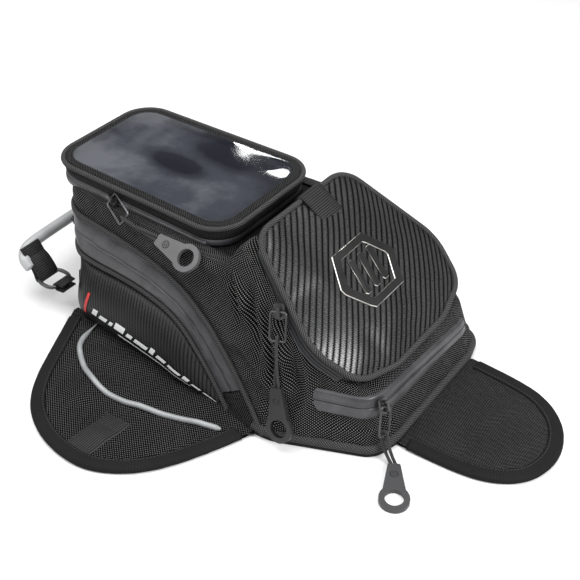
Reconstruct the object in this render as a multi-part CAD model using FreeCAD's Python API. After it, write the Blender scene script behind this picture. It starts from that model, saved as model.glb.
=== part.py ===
import FreeCAD, Part
import math
import os

# Motorcycle tank bag, standing on its base with its three magnet flaps spread on the table.
# +X runs from the handle end to the tongue flap, +Z is up, -Y is the left side.
# The origin is on the underside of the base panel, on the middle plane. Millimetres.

V = FreeCAD.Vector

# ---- body: half outlines (x, half width, corner radius), rear to front, at the floor and at UPPER_Z ----
UPPER_Z = 160.0
FLOOR_OUTLINE = [(-187.0, 106.0, 25.0), (80.0, 133.0, 60.0), (171.0, 93.0, 22.0), (178.0, 66.0, 20.0)]
UPPER_OUTLINE = [(-227.0, 62.0, 28.0), (80.0, 76.0, 40.0), (126.0, 72.0, 14.0), (127.0, 56.0, 12.0)]
WALL = 4.0               # padded fabric wall
BASE_THICK = 4.0
BOARD_THICK = 2.0
RIM_Z = 128.0            # top of the main compartment's rim
RIM_THICK = 2.0
DIVIDER_X = 16.0         # rear face of the panel between main compartment and front pod
GAP = 0.3                # clearance between neighbouring pieces

# ---- map lid: half outline, level on the rim ----
LID_OUTLINE = [(-227.0, 61.0, 28.0), (-15.0, 66.0, 28.0)]
LID_LOW = 128.4
LID_TOP = 150.0
LID_WALL = 3.0
WINDOW_THICK = 0.8
MAP_PANEL_Z = 142.0      # underside panel of the map pocket
PIPE_R = 2.5             # piping radius

# ---- front pocket: a sloping frame; u runs down the slope, n stands off it ----
POCKET_BACK = V(24.0, 0.0, 161.0)
POCKET_FRONT = V(157.0, 0.0, 66.0)
POCKET_OUTLINE = [(0.0, 67.0, 26.0), (105.0, 101.0, 50.0), (150.0, 86.0, 28.0), (163.0, 40.0, 40.0)]
POCKET_WALL_LOW = -32.0  # n where the gusset starts, below the pocket's floor
FLOOR_REAR = (24.0, 124.0)    # the pocket's floor in the side view (x, z)
FLOOR_FRONT = (160.0, 58.0)
POCKET_LID_LOW = -1.7
POCKET_LID_TOP = 2.0

# ---- side seams in the side view (x, z, corner radius) ----
UPPER_SEAM = [(-196.0, 105.0, 0.0), (-42.0, 101.0, 80.0), (76.0, 6.0, 0.0)]
LOWER_SEAM = [(-190.0, 66.0, 0.0), (-62.0, 68.0, 60.0), (31.0, 10.0, 0.0)]
SIDE_ZIP = [(-188.0, 72.0, 3.0), (-60.0, 75.0, 60.0), (9.0, 31.0, 3.0), (42.0, 31.0, 3.0),
            (-45.0, 95.0, 70.0), (-190.0, 99.0, 3.0)]
SIDE_PATCH = [(13.0, 27.0, 2.0), (42.0, 7.0, 2.0), (68.0, 7.0, 2.0), (45.0, 27.0, 2.0)]
SIDE_POCKET = [(-178.0, 7.0, 12.0), (22.0, 7.0, 6.0), (-64.0, 61.0, 50.0), (-184.0, 59.0, 14.0)]
SIDE_POCKET_PROFILE = [(6.0, 3.0), (36.0, 14.0), (63.0, 6.0)]  # (z, how far the side pocket stands off)
SIDE_POCKET_SKIN = 1.6

# ---- flaps ----
FLAP_THICK = 4.0
FLAP_OUTLINE = [(-186.0, -110.5, 6.0), (-118.0, -256.0, 60.0), (8.0, -266.0, 80.0), (69.0, -136.5, 6.0)]
FLAP_PIPING = [(-149.0, -127.0), (-140.0, -154.0), (-90.0, -181.0), (-34.0, -176.0), (44.0, -151.0)]
FLAP_PATCH = [(-60.0, -251.0), (-31.0, -249.0), (-25.0, -195.0), (-54.0, -195.0)]
FLAP_MAGNETS = [(-112.0, -214.0), (-76.0, -226.0), (-8.0, -224.0)]
EMBLEM_U = 86.0                # the emblem's middle, down the slope
EMBLEM_HALF = (40.0, 27.0)     # half width across the bag, half height down the slope
EMBLEM_RING = 8.0              # width of its ring
EMBLEM_THICK = 3.0
SLIDER_EYE = 4.2               # height of a pull's pivot over its slider's underside
SIDE_SLIDER = (-66.0, 86.0)    # y and z of the left side zip's slider on the rear wall
WEBBING_THICK = 1.6
TONGUE_ROOT = 184.5
TONGUE_CENTRE = 236.0
TONGUE_HALF = 69.0
TONGUE_MAGNETS = [(212.0, -32.0), (212.0, 32.0), (262.0, 0.0)]
MAGNET_R = 15.0
MAGNET_THICK = 2.0
BINDING = 11.0           # width of the stitched edge binding on the flaps
BINDING_THICK = 1.0

# ---- zip pulls ----
CORD_D = 3.0
WIRE_D = 2.0
TAB_THICK = 4.5
TAB_RING_R = 13.5
TAB_HOLE_R = 8.5
TAB_REACH = 38.0         # from the mouth to the ring's centre
TAB_MOUTH = 11.0
FOLD = 3.8               # half width of the cord's fold round the wire loop
LOOP_HALF = 7.2          # half width of a slider's wire loop
STRAND = 1.9             # half spacing of the two cord strands at the tab

# ---- carry handle ----
GRIP_D = 12.0
GRIP_ROUTE = [(-233.0, -119.0, 42.0), (-243.0, -116.0, 51.0), (-251.0, -92.0, 55.0), (-251.0, 92.0, 55.0),
              (-243.0, 116.0, 51.0), (-233.0, 119.0, 42.0)]
RING_X = (-226.0, -203.0)
RING_Y = (-119.0, -93.0)
RING_Z = 30.0
RING_BAR_R = 2.0

nodes = {}


# ---------------------------------------------------------------- outlines
def unit(ax, ay, bx, by):
    length = math.hypot(bx - ax, by - ay)
    return (bx - ax) / length, (by - ay) / length


def inset_loop(loop, distance):
    """Move every edge of an anticlockwise loop inwards; a negative distance moves it out."""
    moved = []
    for i, (x, y, r) in enumerate(loop):
        before = loop[i - 1]
        after = loop[(i + 1) % len(loop)]
        ax, ay = unit(before[0], before[1], x, y)
        bx, by = unit(x, y, after[0], after[1])
        k = 1.0 + ax * bx + ay * by
        nx, ny = -(ay + by) / k, (ax + bx) / k
        moved.append((x + distance * nx, y + distance * ny, max(r - distance, 0.5)))
    return moved


def rounded_wire(loop, place, closed=True):
    """Wire of straight runs and tangent arcs through the corners of (x, y, radius) points."""
    count = len(loop)
    corners = []
    for i, (x, y, r) in enumerate(loop):
        if not closed and i in (0, count - 1):
            corners.append(((x, y), None, (x, y)))
            continue
        before = loop[i - 1]
        after = loop[(i + 1) % count]
        ax, ay = unit(before[0], before[1], x, y)
        bx, by = unit(x, y, after[0], after[1])
        turn = math.acos(max(-1.0, min(1.0, ax * bx + ay * by)))
        side = 1.0 if ax * by - ay * bx > 0.0 else -1.0
        t = r * math.tan(turn / 2.0)
        reach = r * (1.0 / math.cos(turn / 2.0) - 1.0)
        mx, my = side * -(ay + by), side * (ax + bx)
        size = math.hypot(mx, my)
        middle = (x + reach * mx / size, y + reach * my / size)
        corners.append(((x - ax * t, y - ay * t), middle, (x + bx * t, y + by * t)))
    edges = []
    for i, (start, middle, end) in enumerate(corners):
        if middle:
            edges.append(Part.Arc(place(*start), place(*middle), place(*end)).toShape())
        if closed or i < count - 1:
            following = corners[(i + 1) % count][0]
            edges.append(Part.LineSegment(place(*end), place(*following)).toShape())
    return Part.Wire(edges)


def prism(loop, place, direction):
    """Solid of a rounded loop drawn by place() and carried along direction."""
    return Part.Face(rounded_wire(loop, place)).extrude(direction)


def both_sides(half):
    """Close a half outline (x, half width, radius) into a loop that is the same on both sides."""
    left = [(x, -w, r) for x, w, r in half]
    right = [(x, w, r) for x, w, r in reversed(half)]
    return left + right


def at_height(z):
    return lambda x, y: V(x, y, z)


def mirrored(shape):
    return shape.mirror(V(0, 0, 0), V(0, 1, 0))


def box(x0, x1, y0, y1, z0, z1):
    return Part.makeBox(x1 - x0, y1 - y0, z1 - z0, V(x0, y0, z0))


# ---------------------------------------------------------------- body surfaces
def body_loop(z, inset=0.0):
    t = z / UPPER_Z
    half = []
    for low, high in zip(FLOOR_OUTLINE, UPPER_OUTLINE):
        half.append(tuple(a + (b - a) * t for a, b in zip(low, high)))
    return inset_loop(both_sides(half), inset)


def body(z0, z1, inset=0.0):
    wires = [rounded_wire(body_loop(z, inset), at_height(z)) for z in (z0, z1)]
    return Part.makeLoft(wires, True, True)


def side_y(x, z):
    """Y of the left wall's outside at a place in the side view."""
    t = z / UPPER_Z
    rear, front = [tuple(a + (b - a) * t for a, b in zip(low, high))
                   for low, high in zip(FLOOR_OUTLINE[:2], UPPER_OUTLINE[:2])]
    share = (x - rear[0]) / (front[0] - rear[0])
    return -(rear[1] + (front[1] - rear[1]) * share)


def skin(cutter, low, high):
    """The part of a layer over the body, from low to high mm outside it, that lies in cutter."""
    return body(1.0, 157.0, -high).cut(body(0.5, 158.0, -low)).common(cutter)


def side_skin(loop, low, high):
    cutter = prism(loop, lambda x, z: V(x, -30.0, z), V(0, -150, 0))
    return skin(cutter, low, high)


def side_bulge(loop, low, skin_thick):
    """Like side_skin, but its outside follows the side pocket's bulging profile."""
    (z0, out0), (z1, out1), (z2, out2) = SIDE_POCKET_PROFILE
    loops = [(z0, out0), (z1, out1), (z2, out2)]
    wires = [rounded_wire(body_loop(z, skin_thick - out), at_height(z)) for z, out in loops]
    outside = Part.makeLoft(wires[:2], True, True).fuse(Part.makeLoft(wires[1:], True, True))
    cutter = prism(loop, lambda x, z: V(x, -30.0, z), V(0, -150, 0))
    return outside.cut(body(0.5, 158.0, -low)).common(cutter)


slope = (POCKET_FRONT - POCKET_BACK).normalize()
slope_normal = V(-slope.z, 0.0, slope.x)


def on_slope(n):
    return lambda u, y: POCKET_BACK + slope * u + slope_normal * n + V(0, y, 0)


def under_floor(lift):
    """Everything below the pocket's sloping floor moved up by lift."""
    a = V(FLOOR_REAR[0], 0.0, FLOOR_REAR[1] + lift)
    b = V(FLOOR_FRONT[0], 0.0, FLOOR_FRONT[1] + lift)
    run = (b - a).normalize()
    a = a - run * 150.0
    b = b + run * 300.0
    down = V(0, 0, -600)
    face = Part.Face(Part.makePolygon([a, b, b + down, a + down, a]))
    face.translate(V(0, -300, 0))
    return face.extrude(V(0, 600, 0))


def pocket_prism(inset, n0, n1):
    loop = inset_loop(both_sides(POCKET_OUTLINE), inset)
    return prism(loop, on_slope(n0), slope_normal * (n1 - n0))


# ---------------------------------------------------------------- tubes
def tangent_path(points, radii):
    """Straight runs joined by tangent arcs; radii has one value for each inner point."""
    points = [V(*p) for p in points]
    edges = []
    start = points[0]
    for before, corner, after, r in zip(points, points[1:], points[2:], radii):
        a = (corner - before).normalize()
        b = (after - corner).normalize()
        turn = a.getAngle(b)
        t = r * math.tan(turn / 2.0)
        first, last = corner - a * t, corner + b * t
        inward = (b - a).normalize()
        middle = corner + inward * (r * (1.0 / math.cos(turn / 2.0) - 1.0))
        edges.append(Part.LineSegment(start, first).toShape())
        edges.append(Part.Arc(first, middle, last).toShape())
        start = last
    edges.append(Part.LineSegment(start, points[-1]).toShape())
    return Part.Wire(edges)


def swept(path, radius):
    first = path.Edges[0]
    profile = Part.Wire(Part.makeCircle(radius, first.valueAt(first.FirstParameter),
                                        first.tangentAt(first.FirstParameter)))
    return path.makePipeShell([profile], True, False)


def free_radii(points):
    """Arc radii of a cord: 0.45 of the shorter run over the tangent of half the turn."""
    points = [V(*p) for p in points]
    radii = []
    for before, corner, after in zip(points, points[1:], points[2:]):
        shorter = min((corner - before).Length, (after - corner).Length)
        turn = (corner - before).getAngle(after - corner)
        radii.append(0.45 * shorter / math.tan(turn / 2.0))
    return radii


def cord(name, points):
    radii = free_radii(points)
    path = tangent_path(points, radii)
    shape = swept(path, CORD_D / 2.0)
    expected = path.Length * math.pi * CORD_D ** 2 / 4.0
    print(name, "length %.1f" % path.Length, "radii", " ".join("%.1f" % r for r in radii),
          "volume share %.3f" % (shape.Volume / expected))
    return shape


def loop_tube(loop, place, radius):
    path = rounded_wire(loop, place)
    return swept(path, radius)


# ---------------------------------------------------------------- main compartment
def build_body():
    rear_half = box(-300, DIVIDER_X - GAP, -200, 200, -1, 200)
    front_half = box(DIVIDER_X + WALL + GAP, 300, -200, 200, -1, 200)
    nodes["base_panel"] = prism(body_loop(2.0, 1.0), at_height(0.0), V(0, 0, BASE_THICK))
    board = prism(body_loop(5.0, WALL + 8.0), at_height(BASE_THICK + GAP), V(0, 0, BOARD_THICK))
    nodes["base_board"] = board.common(box(-300, DIVIDER_X - 4.0, -200, 200, 0, 20))
    low = BASE_THICK + 0.1
    walls = body(low, RIM_Z - RIM_THICK - 0.1).cut(body(0.0, RIM_Z, WALL))
    nodes["main_wall"] = walls.common(rear_half)
    rim_outer = prism(body_loop(RIM_Z - 1.0, 0.5), at_height(RIM_Z - RIM_THICK), V(0, 0, RIM_THICK))
    rim_hole = prism(inset_loop(both_sides(LID_OUTLINE), 9.0), at_height(RIM_Z - 5.0), V(0, 0, 10))
    nodes["rim_panel"] = rim_outer.cut(rim_hole).common(rear_half)
    divider = box(DIVIDER_X, DIVIDER_X + WALL, -200, 200, low, 155.0)
    nodes["divider_panel"] = divider.common(body(1.0, 158.0, WALL + 0.5))
    pod = body(low, 157.0).cut(body(0.0, 158.0, WALL)).common(under_floor(0.0))
    slit = box(140, 200, -62.0, 62.0, 34.5, 41.5)
    nodes["pod_wall"] = pod.common(front_half).cut(slit)
    floor_plate = body(low, 157.0, 1.0).common(under_floor(2.4)).cut(under_floor(0.3))
    nodes["pocket_floor"] = floor_plate.common(front_half)
    gusset = pocket_prism(1.0, POCKET_WALL_LOW, POCKET_LID_LOW - GAP).cut(pocket_prism(4.0, -40.0, 5.0))
    nodes["pocket_wall"] = gusset.common(front_half).cut(under_floor(2.7))
    strip = pocket_prism(-0.8, -15.0, -6.0).cut(pocket_prism(0.8, -18.0, -4.0)).cut(under_floor(3.0))
    nodes["pocket_zip_tape"] = strip.common(box(32.0, 300, -200, 200, 0, 200))


def build_side_details():
    seams = {"arch_pipings": UPPER_SEAM, "pocket_pipings": LOWER_SEAM}
    for name, seam in seams.items():
        points = [(x, side_y(x, z) - PIPE_R - 0.6, z) for x, z, r in seam]
        tube = swept(tangent_path(points, [seam[1][2]]), PIPE_R)
        nodes[name] = Part.makeCompound([tube, mirrored(tube)])
    zip_tape = side_skin(SIDE_ZIP, 0.2, 1.8)
    nodes["side_zip_tape_left"] = zip_tape
    nodes["side_zip_tape_right"] = mirrored(zip_tape)
    patch = side_skin(SIDE_PATCH, 0.2, 1.8)
    nodes["side_patches"] = Part.makeCompound([patch, mirrored(patch)])
    pocket = side_bulge(SIDE_POCKET, 0.2, 0.0)
    inner = side_bulge(inset_loop(SIDE_POCKET, 4.0), SIDE_POCKET_SKIN + 0.2, SIDE_POCKET_SKIN)
    mouth = side_skin([(-160, 43, 2), (-80, 43, 2), (-80, 57, 2), (-160, 57, 2)], 2.5, 30.0)
    pocket = pocket.cut(inner).cut(mouth)
    nodes["side_pocket_left"] = pocket
    nodes["side_pocket_right"] = mirrored(pocket)


def build_front_details():
    front = [(-76.0, 38.0, 2.0), (70.0, 30.0, 2.0), (70.0, 46.0, 2.0), (-76.0, 56.0, 2.0)]
    cutter = prism(front, lambda y, z: V(140.0, y, z), V(60, 0, 0))
    nodes["front_zip_tape"] = skin(cutter, 0.2, 1.8)
    hem_loop = body_loop(6.0, -PIPE_R - 0.2)
    nodes["front_piping"] = swept(rounded_wire(hem_loop[3:5], at_height(7.0), closed=False), PIPE_R)


# ---------------------------------------------------------------- map lid
def build_map_lid():
    loop = both_sides(LID_OUTLINE)
    outer = prism(loop, at_height(LID_LOW), V(0, 0, LID_TOP - LID_LOW))
    inner = prism(inset_loop(loop, LID_WALL), at_height(LID_LOW - 1), V(0, 0, 30))
    nodes["lid_wall"] = outer.cut(inner)
    panel = prism(inset_loop(loop, LID_WALL + 0.1), at_height(MAP_PANEL_Z), V(0, 0, 1.5))
    slit = box(-195.0, -170.0, -45.0, 45.0, MAP_PANEL_Z - 1, MAP_PANEL_Z + 3)
    nodes["map_pocket_panel"] = panel.cut(slit)
    window_z = LID_TOP + 0.1
    nodes["map_window"] = prism(inset_loop(loop, 1.0), at_height(window_z), V(0, 0, WINDOW_THICK))
    binding = prism(inset_loop(loop, 0.5), at_height(window_z + WINDOW_THICK + 0.1), V(0, 0, 1.2))
    hole = prism(inset_loop(loop, 9.0), at_height(LID_TOP), V(0, 0, 5))
    nodes["window_binding"] = binding.cut(hole)
    nodes["lid_piping"] = loop_tube(inset_loop(loop, -PIPE_R - 0.2), at_height(LID_TOP - 1.0), PIPE_R)
    coil = prism(inset_loop(loop, -1.6), at_height(LID_LOW + 1.0), V(0, 0, 4.0))
    coil = coil.cut(prism(inset_loop(loop, -0.1), at_height(LID_LOW), V(0, 0, 8.0)))
    nodes["lid_zip_coil"] = coil.common(box(-300, -32.0, -100, 100, 100, 200))


# ---------------------------------------------------------------- pocket lid
def build_pocket_lid():
    nodes["pocket_lid_panel"] = pocket_prism(0.0, POCKET_LID_LOW, POCKET_LID_TOP)
    loop = inset_loop(both_sides(POCKET_OUTLINE), -PIPE_R - 0.2)
    nodes["pocket_lid_piping"] = loop_tube(loop, on_slope(0.4), PIPE_R)
    half_w, half_h = EMBLEM_HALF
    corners = [(-1, -0.55), (0, -1), (1, -0.55), (1, 0.55), (0, 1), (-1, 0.55)]
    hexagon = [(EMBLEM_U + u * half_h, w * half_w, 3.0) for u, w in corners]
    low = POCKET_LID_TOP + 0.05
    ring = prism(hexagon[::-1], on_slope(low), slope_normal * EMBLEM_THICK)
    hole = inset_loop(hexagon, EMBLEM_RING)
    ring = ring.cut(prism(hole, on_slope(low - 1), slope_normal * 2 * EMBLEM_THICK))
    bars = []
    for y in (-14.0, 0.0, 14.0):
        bar = [(EMBLEM_U - 15.0, y + 1.0, 1.0), (EMBLEM_U - 15.0, y + 8.0, 1.0),
               (EMBLEM_U + 15.0, y - 1.0, 1.0), (EMBLEM_U + 15.0, y - 8.0, 1.0)]
        bars.append(prism(bar, on_slope(low), slope_normal * 3.0))
    nodes["emblem"] = Part.makeCompound([ring] + bars)
    tab = [(1.0, -2.0, 1.0), (27.0, -2.0, 1.0), (27.0, 26.0, 1.0), (1.0, 26.0, 1.0)]
    nodes["webbing_tab"] = prism(tab, on_slope(low), slope_normal * 1.6)


# ---------------------------------------------------------------- flaps
def magnet_group(places, clearance):
    height = MAGNET_THICK + 2.0 * clearance
    low = (FLAP_THICK - height) / 2.0
    return [Part.makeCylinder(MAGNET_R + clearance, height, V(x, y, low)) for x, y in places]


def edge_binding(loop, keep):
    """Flat binding tape on top of a flap along its free edge."""
    low = FLAP_THICK + 0.05
    tape = prism(inset_loop(loop, 0.5), at_height(low), V(0, 0, BINDING_THICK))
    tape = tape.cut(prism(inset_loop(loop, BINDING), at_height(low - 1), V(0, 0, 4)))
    return tape.common(keep)


def build_side_flaps():
    flap = prism(FLAP_OUTLINE[::-1], at_height(0.0), V(0, 0, FLAP_THICK))
    for hole in magnet_group(FLAP_MAGNETS, GAP):
        flap = flap.cut(hole)
    binding = edge_binding(FLAP_OUTLINE, box(-250, 250, -300, -142, 0, 20))
    z = FLAP_THICK + PIPE_R + 0.1
    points = [(x, y, z) for x, y in FLAP_PIPING]
    piping = swept(tangent_path(points, [40.0, 60.0, 60.0]), PIPE_R)
    patch_loop = [(x, y, 1.0) for x, y in FLAP_PATCH]
    patch = prism(patch_loop, at_height(FLAP_THICK + 0.1), V(0, 0, 1.4))
    keep_out = prism(inset_loop(patch_loop, -0.5), at_height(FLAP_THICK), V(0, 0, 5))
    pieces = {"flap": flap, "flap_binding": binding.cut(keep_out), "flap_piping": piping, "flap_patch": patch,
              "flap_magnets": Part.makeCompound(magnet_group(FLAP_MAGNETS, 0.0))}
    for name, shape in pieces.items():
        nodes[name + "_left"] = shape
        nodes[name + "_right"] = mirrored(shape)


def build_tongue():
    place = at_height(0.0)
    tip = TONGUE_CENTRE + TONGUE_HALF

    def outline(half, z):
        corner_a = V(TONGUE_ROOT, -half, z)
        corner_b = V(TONGUE_ROOT, half, z)
        side_a = V(TONGUE_CENTRE, -half, z)
        side_b = V(TONGUE_CENTRE, half, z)
        arc = Part.Arc(side_a, V(tip - TONGUE_HALF + half, 0, z), side_b).toShape()
        lines = [Part.LineSegment(a, b).toShape() for a, b in ((corner_a, side_a), (side_b, corner_b),
                                                               (corner_b, corner_a))]
        return Part.Face(Part.Wire([lines[0], arc, lines[1], lines[2]]))

    flap = outline(TONGUE_HALF, 0.0).extrude(V(0, 0, FLAP_THICK))
    for hole in magnet_group(TONGUE_MAGNETS, GAP):
        flap = flap.cut(hole)
    nodes["tongue_flap"] = flap
    low = FLAP_THICK + 0.05
    tape = outline(TONGUE_HALF - 0.5, low).extrude(V(0, 0, BINDING_THICK))
    tape = tape.cut(outline(TONGUE_HALF - BINDING, low - 1).extrude(V(0, 0, 4)))
    nodes["tongue_binding"] = tape.common(box(TONGUE_ROOT + BINDING, 400, -200, 200, 0, 20))
    nodes["tongue_magnets"] = Part.makeCompound(magnet_group(TONGUE_MAGNETS, 0.0))


# ---------------------------------------------------------------- zip pulls
def frame_at(origin, along, normal):
    """Placement whose X runs along and whose Z is the outward normal."""
    x = V(*along).normalize()
    z = V(*normal)
    z = (z - x * z.dot(x)).normalize()
    y = z.cross(x)
    return FreeCAD.Placement(V(*origin), FreeCAD.Rotation(x, y, z, "ZXY"))


def slider():
    """Slider body with a bridge; its X points the way the pull hangs."""
    plate_loop = [(-7.0, -5.0, 2.0), (6.0, -5.5, 2.0), (8.0, 0.0, 2.0), (6.0, 5.5, 2.0), (-7.0, 5.0, 2.0)]
    plate = prism(plate_loop, at_height(0.0), V(0, 0, 2.4))
    bridge = box(-5.0, 5.0, -1.6, 1.6, 2.4, 7.0).cut(box(-2.6, 2.6, -2.0, 2.0, 2.4, 5.8))
    return plate.fuse(bridge)


def wire_loop(length, half):
    loop = [(0.0, -half, 2.5), (length, -half, 2.5), (length, half, 2.5), (0.0, half, 2.5)]
    return loop_tube(loop, at_height(0.0), WIRE_D / 2.0)


def pull_tab():
    """Moulded tab with a finger ring; its mouth is at X = 0 and its middle plane at Z = 0."""
    half = TAB_THICK / 2.0
    neck_loop = [(0.0, -TAB_MOUTH / 2, 1.5), (TAB_REACH - 6.0, -10.5, 2.0), (TAB_REACH - 6.0, 10.5, 2.0),
                 (0.0, TAB_MOUTH / 2, 1.5)]
    neck = prism(neck_loop, at_height(-half), V(0, 0, TAB_THICK))
    disc = Part.makeCylinder(TAB_RING_R, TAB_THICK, V(TAB_REACH, 0, -half))
    hole = Part.makeCylinder(TAB_HOLE_R, TAB_THICK + 2, V(TAB_REACH, 0, -half - 1))
    return neck.fuse(disc).cut(hole)


def strands(centres, start_offset, end_offset):
    """Two strands of a folded cord along centres: round the wire at the first, into the tab at the last."""
    count = len(centres) - 1
    one, two = [], []
    for i, centre in enumerate(centres):
        share = i / count
        off = start_offset * (1.0 - share) + end_offset * share
        one.append(tuple(V(*centre) + off))
        two.append(tuple(V(*centre) - off))
    return list(reversed(one)) + two


PULLS = {
    # seat, along, normal: where the slider stands and which way it points and faces; loop: the wire's length;
    # route: the middle of the doubled cord, from the wire's end to the tab's mouth
    "lid": {"seat": (-148.0, -69.4, 134.8), "along": (1.0, -0.32, 0.06), "normal": (0.06, -1.0, 0.62),
            "loop": 24.0, "route": [(-120.5, -85.5, 131.5), (-106.0, -88.0, 130.6), (-91.0, -87.4, 129.8),
                                    (-76.0, -88.0, 129.0)],
            "tab_along": (36.0, -3.5, -3.0), "tab_normal": (0.0, -0.62, 0.78)},
    "pocket": {"seat": (68.5, -93.5, 118.5), "along": (0.25, -0.26, -0.93), "normal": (0.3, -0.9, 0.34),
               "loop": 20.0, "route": [(75.5, -107.0, 96.5), (79.5, -113.5, 83.5), (82.0, -117.6, 71.0),
                                       (85.5, -121.6, 58.5)],
               "tab_along": (8.5, -8.6, -26.0), "tab_normal": (0.0, -0.94, 0.33)},
    "front": {"seat": (166.2, -76.5, 48.0), "along": (0.42, -0.3, -0.86), "normal": (0.93, 0.0, 0.34),
              "loop": 24.0, "route": [(175.0, -85.5, 24.0), (179.5, -88.0, 14.5), (185.0, -89.8, 6.5),
                                      (191.3, -92.5, 2.3)],
              "tab_along": (20.0, -32.0, 0.0), "tab_normal": (0.0, 0.0, 1.0)},
}


def build_pulls():
    for name, pull in PULLS.items():
        along = V(*pull["along"]).normalize()
        seat = frame_at(pull["seat"], pull["along"], pull["normal"])
        body_shape = slider()
        body_shape.Placement = seat
        nodes[name + "_slider"] = body_shape
        hinge = seat.multVec(V(0, 0, SLIDER_EYE))
        wire_end = V(*pull["route"][0])
        reach = wire_end - hinge
        loop_frame = frame_at(hinge, reach, pull["normal"])
        loop = wire_loop(reach.Length, LOOP_HALF)
        loop.Placement = loop_frame
        nodes[name + "_wire_loop"] = loop
        out = loop_frame.Rotation.multVec(V(0, 0, 1))
        back = loop_frame.Rotation.multVec(V(-1, 0, 0))
        mouth = V(*pull["route"][-1])
        tab_frame = frame_at(mouth, pull["tab_along"], pull["tab_normal"])
        across = tab_frame.Rotation.multVec(V(0, 1, 0))
        centres = [tuple(wire_end + back * FOLD)] + pull["route"][1:]
        route = strands(centres, out * FOLD, across * STRAND)
        nodes[name + "_pull_cord"] = cord(name + "_pull_cord", route)
        tab = pull_tab()
        tab.Placement = tab_frame
        nodes[name + "_pull_tab"] = tab


def build_side_sliders():
    y, z = SIDE_SLIDER
    t = z / UPPER_Z
    for name, sign in (("left", 1.0), ("right", -1.0)):
        shape = slider()
        wall_x = FLOOR_OUTLINE[0][0] + (UPPER_OUTLINE[0][0] - FLOOR_OUTLINE[0][0]) * t
        shape.Placement = frame_at((wall_x - 0.6, y * sign, z), (0.0, sign, 0.0), (-1.0, 0.0, -0.25))
        nodes["side_zip_slider_" + name] = shape


# ---------------------------------------------------------------- carry handle
def build_handle():
    nodes["handle_grip"] = swept(tangent_path(GRIP_ROUTE, [11.0, 22.0, 22.0, 11.0]), GRIP_D / 2.0)
    near, far = RING_Y
    rear, front = RING_X
    width = far - near - 8.0
    ring_loop = [(rear, near, 3.0), (front, near, 3.0), (front, far, 3.0), (rear, far, 3.0)]
    ring = loop_tube(ring_loop, at_height(RING_Z), RING_BAR_R)
    nodes["handle_rings"] = Part.makeCompound([ring, mirrored(ring)])
    webbing = sling(V(rear, near + 4.0, RING_Z), width, V(-0.55, 0.0, 0.83), 12.0)
    nodes["handle_webbing"] = Part.makeCompound([webbing, mirrored(webbing)])
    anchor = sling(V(front, near + 4.0, RING_Z), width, V(1.0, 0.0, -0.1), 7.0)
    nodes["handle_anchors"] = Part.makeCompound([anchor, mirrored(anchor)])


def sling(pivot, width, along, reach):
    """Webbing folded round a bar at pivot, with its doubled end reaching along."""
    inner = RING_BAR_R + GAP
    outer = inner + WEBBING_THICK
    tube_part = Part.makeCylinder(outer, width, pivot, V(0, 1, 0))
    frame = frame_at(tuple(pivot), tuple(along), (along.z, 0.0, -along.x))
    tongue = box(0.0, reach, 0.0, width, -outer * 0.55, outer * 0.55)
    tongue.Placement = frame
    shift = frame.Rotation.multVec(V(0, 1, 0))
    if shift.y < 0:
        tongue.translate(V(0, width, 0))
    return tube_part.fuse(tongue).cut(Part.makeCylinder(inner, width + 2, pivot - V(0, 1, 0), V(0, 1, 0)))


def export():
    os.makedirs("parts", exist_ok=True)
    for name, shape in nodes.items():
        shape.exportStep(os.path.join("parts", name + ".step"))
    print(len(nodes), "nodes")


build_body()
build_side_details()
build_front_details()
build_map_lid()
build_pocket_lid()
build_side_flaps()
build_tongue()
build_pulls()
build_side_sliders()
build_handle()
export()
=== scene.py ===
import math

import bpy
import numpy as np
from mathutils import Matrix, Quaternion, Vector
from mathutils.bvhtree import BVHTree


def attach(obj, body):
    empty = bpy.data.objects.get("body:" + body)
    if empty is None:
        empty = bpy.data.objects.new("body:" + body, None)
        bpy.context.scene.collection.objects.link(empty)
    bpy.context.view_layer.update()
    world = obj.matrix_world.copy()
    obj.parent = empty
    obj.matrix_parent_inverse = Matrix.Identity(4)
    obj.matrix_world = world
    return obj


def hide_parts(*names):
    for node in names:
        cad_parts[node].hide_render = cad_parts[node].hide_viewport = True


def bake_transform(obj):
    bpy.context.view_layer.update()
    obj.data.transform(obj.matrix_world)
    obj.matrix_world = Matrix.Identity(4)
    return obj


# Motorcycle tank bag. Helper sizes are millimetres in the frame's axes; MM turns them into Blender's metres.
MM = 0.001
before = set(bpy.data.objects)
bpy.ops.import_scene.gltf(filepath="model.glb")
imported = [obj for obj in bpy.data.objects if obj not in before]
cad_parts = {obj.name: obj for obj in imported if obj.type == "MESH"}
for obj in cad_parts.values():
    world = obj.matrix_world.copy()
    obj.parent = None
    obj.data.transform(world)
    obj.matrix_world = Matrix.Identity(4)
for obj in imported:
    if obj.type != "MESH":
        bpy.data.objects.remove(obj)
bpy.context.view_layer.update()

# ---------------------------------------------------------------- camera
AZIMUTH, ELEVATION, DISTANCE = math.radians(36.3), math.radians(38.8), 0.960
TARGET = Vector((0.023, -0.017, 0.070))
toward = Vector((math.sin(AZIMUTH) * math.cos(ELEVATION), -math.cos(AZIMUTH) * math.cos(ELEVATION),
                 math.sin(ELEVATION)))
camera = bpy.data.objects.new("camera", bpy.data.cameras.new("camera"))
bpy.context.scene.collection.objects.link(camera)
camera.data.lens = 62.2
camera.data.sensor_width = 36.0
camera.location = TARGET + toward * DISTANCE
camera.rotation_mode = "QUATERNION"
camera.rotation_quaternion = (-toward).to_track_quat("-Z", "Y")
bpy.context.scene.camera = camera


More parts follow.
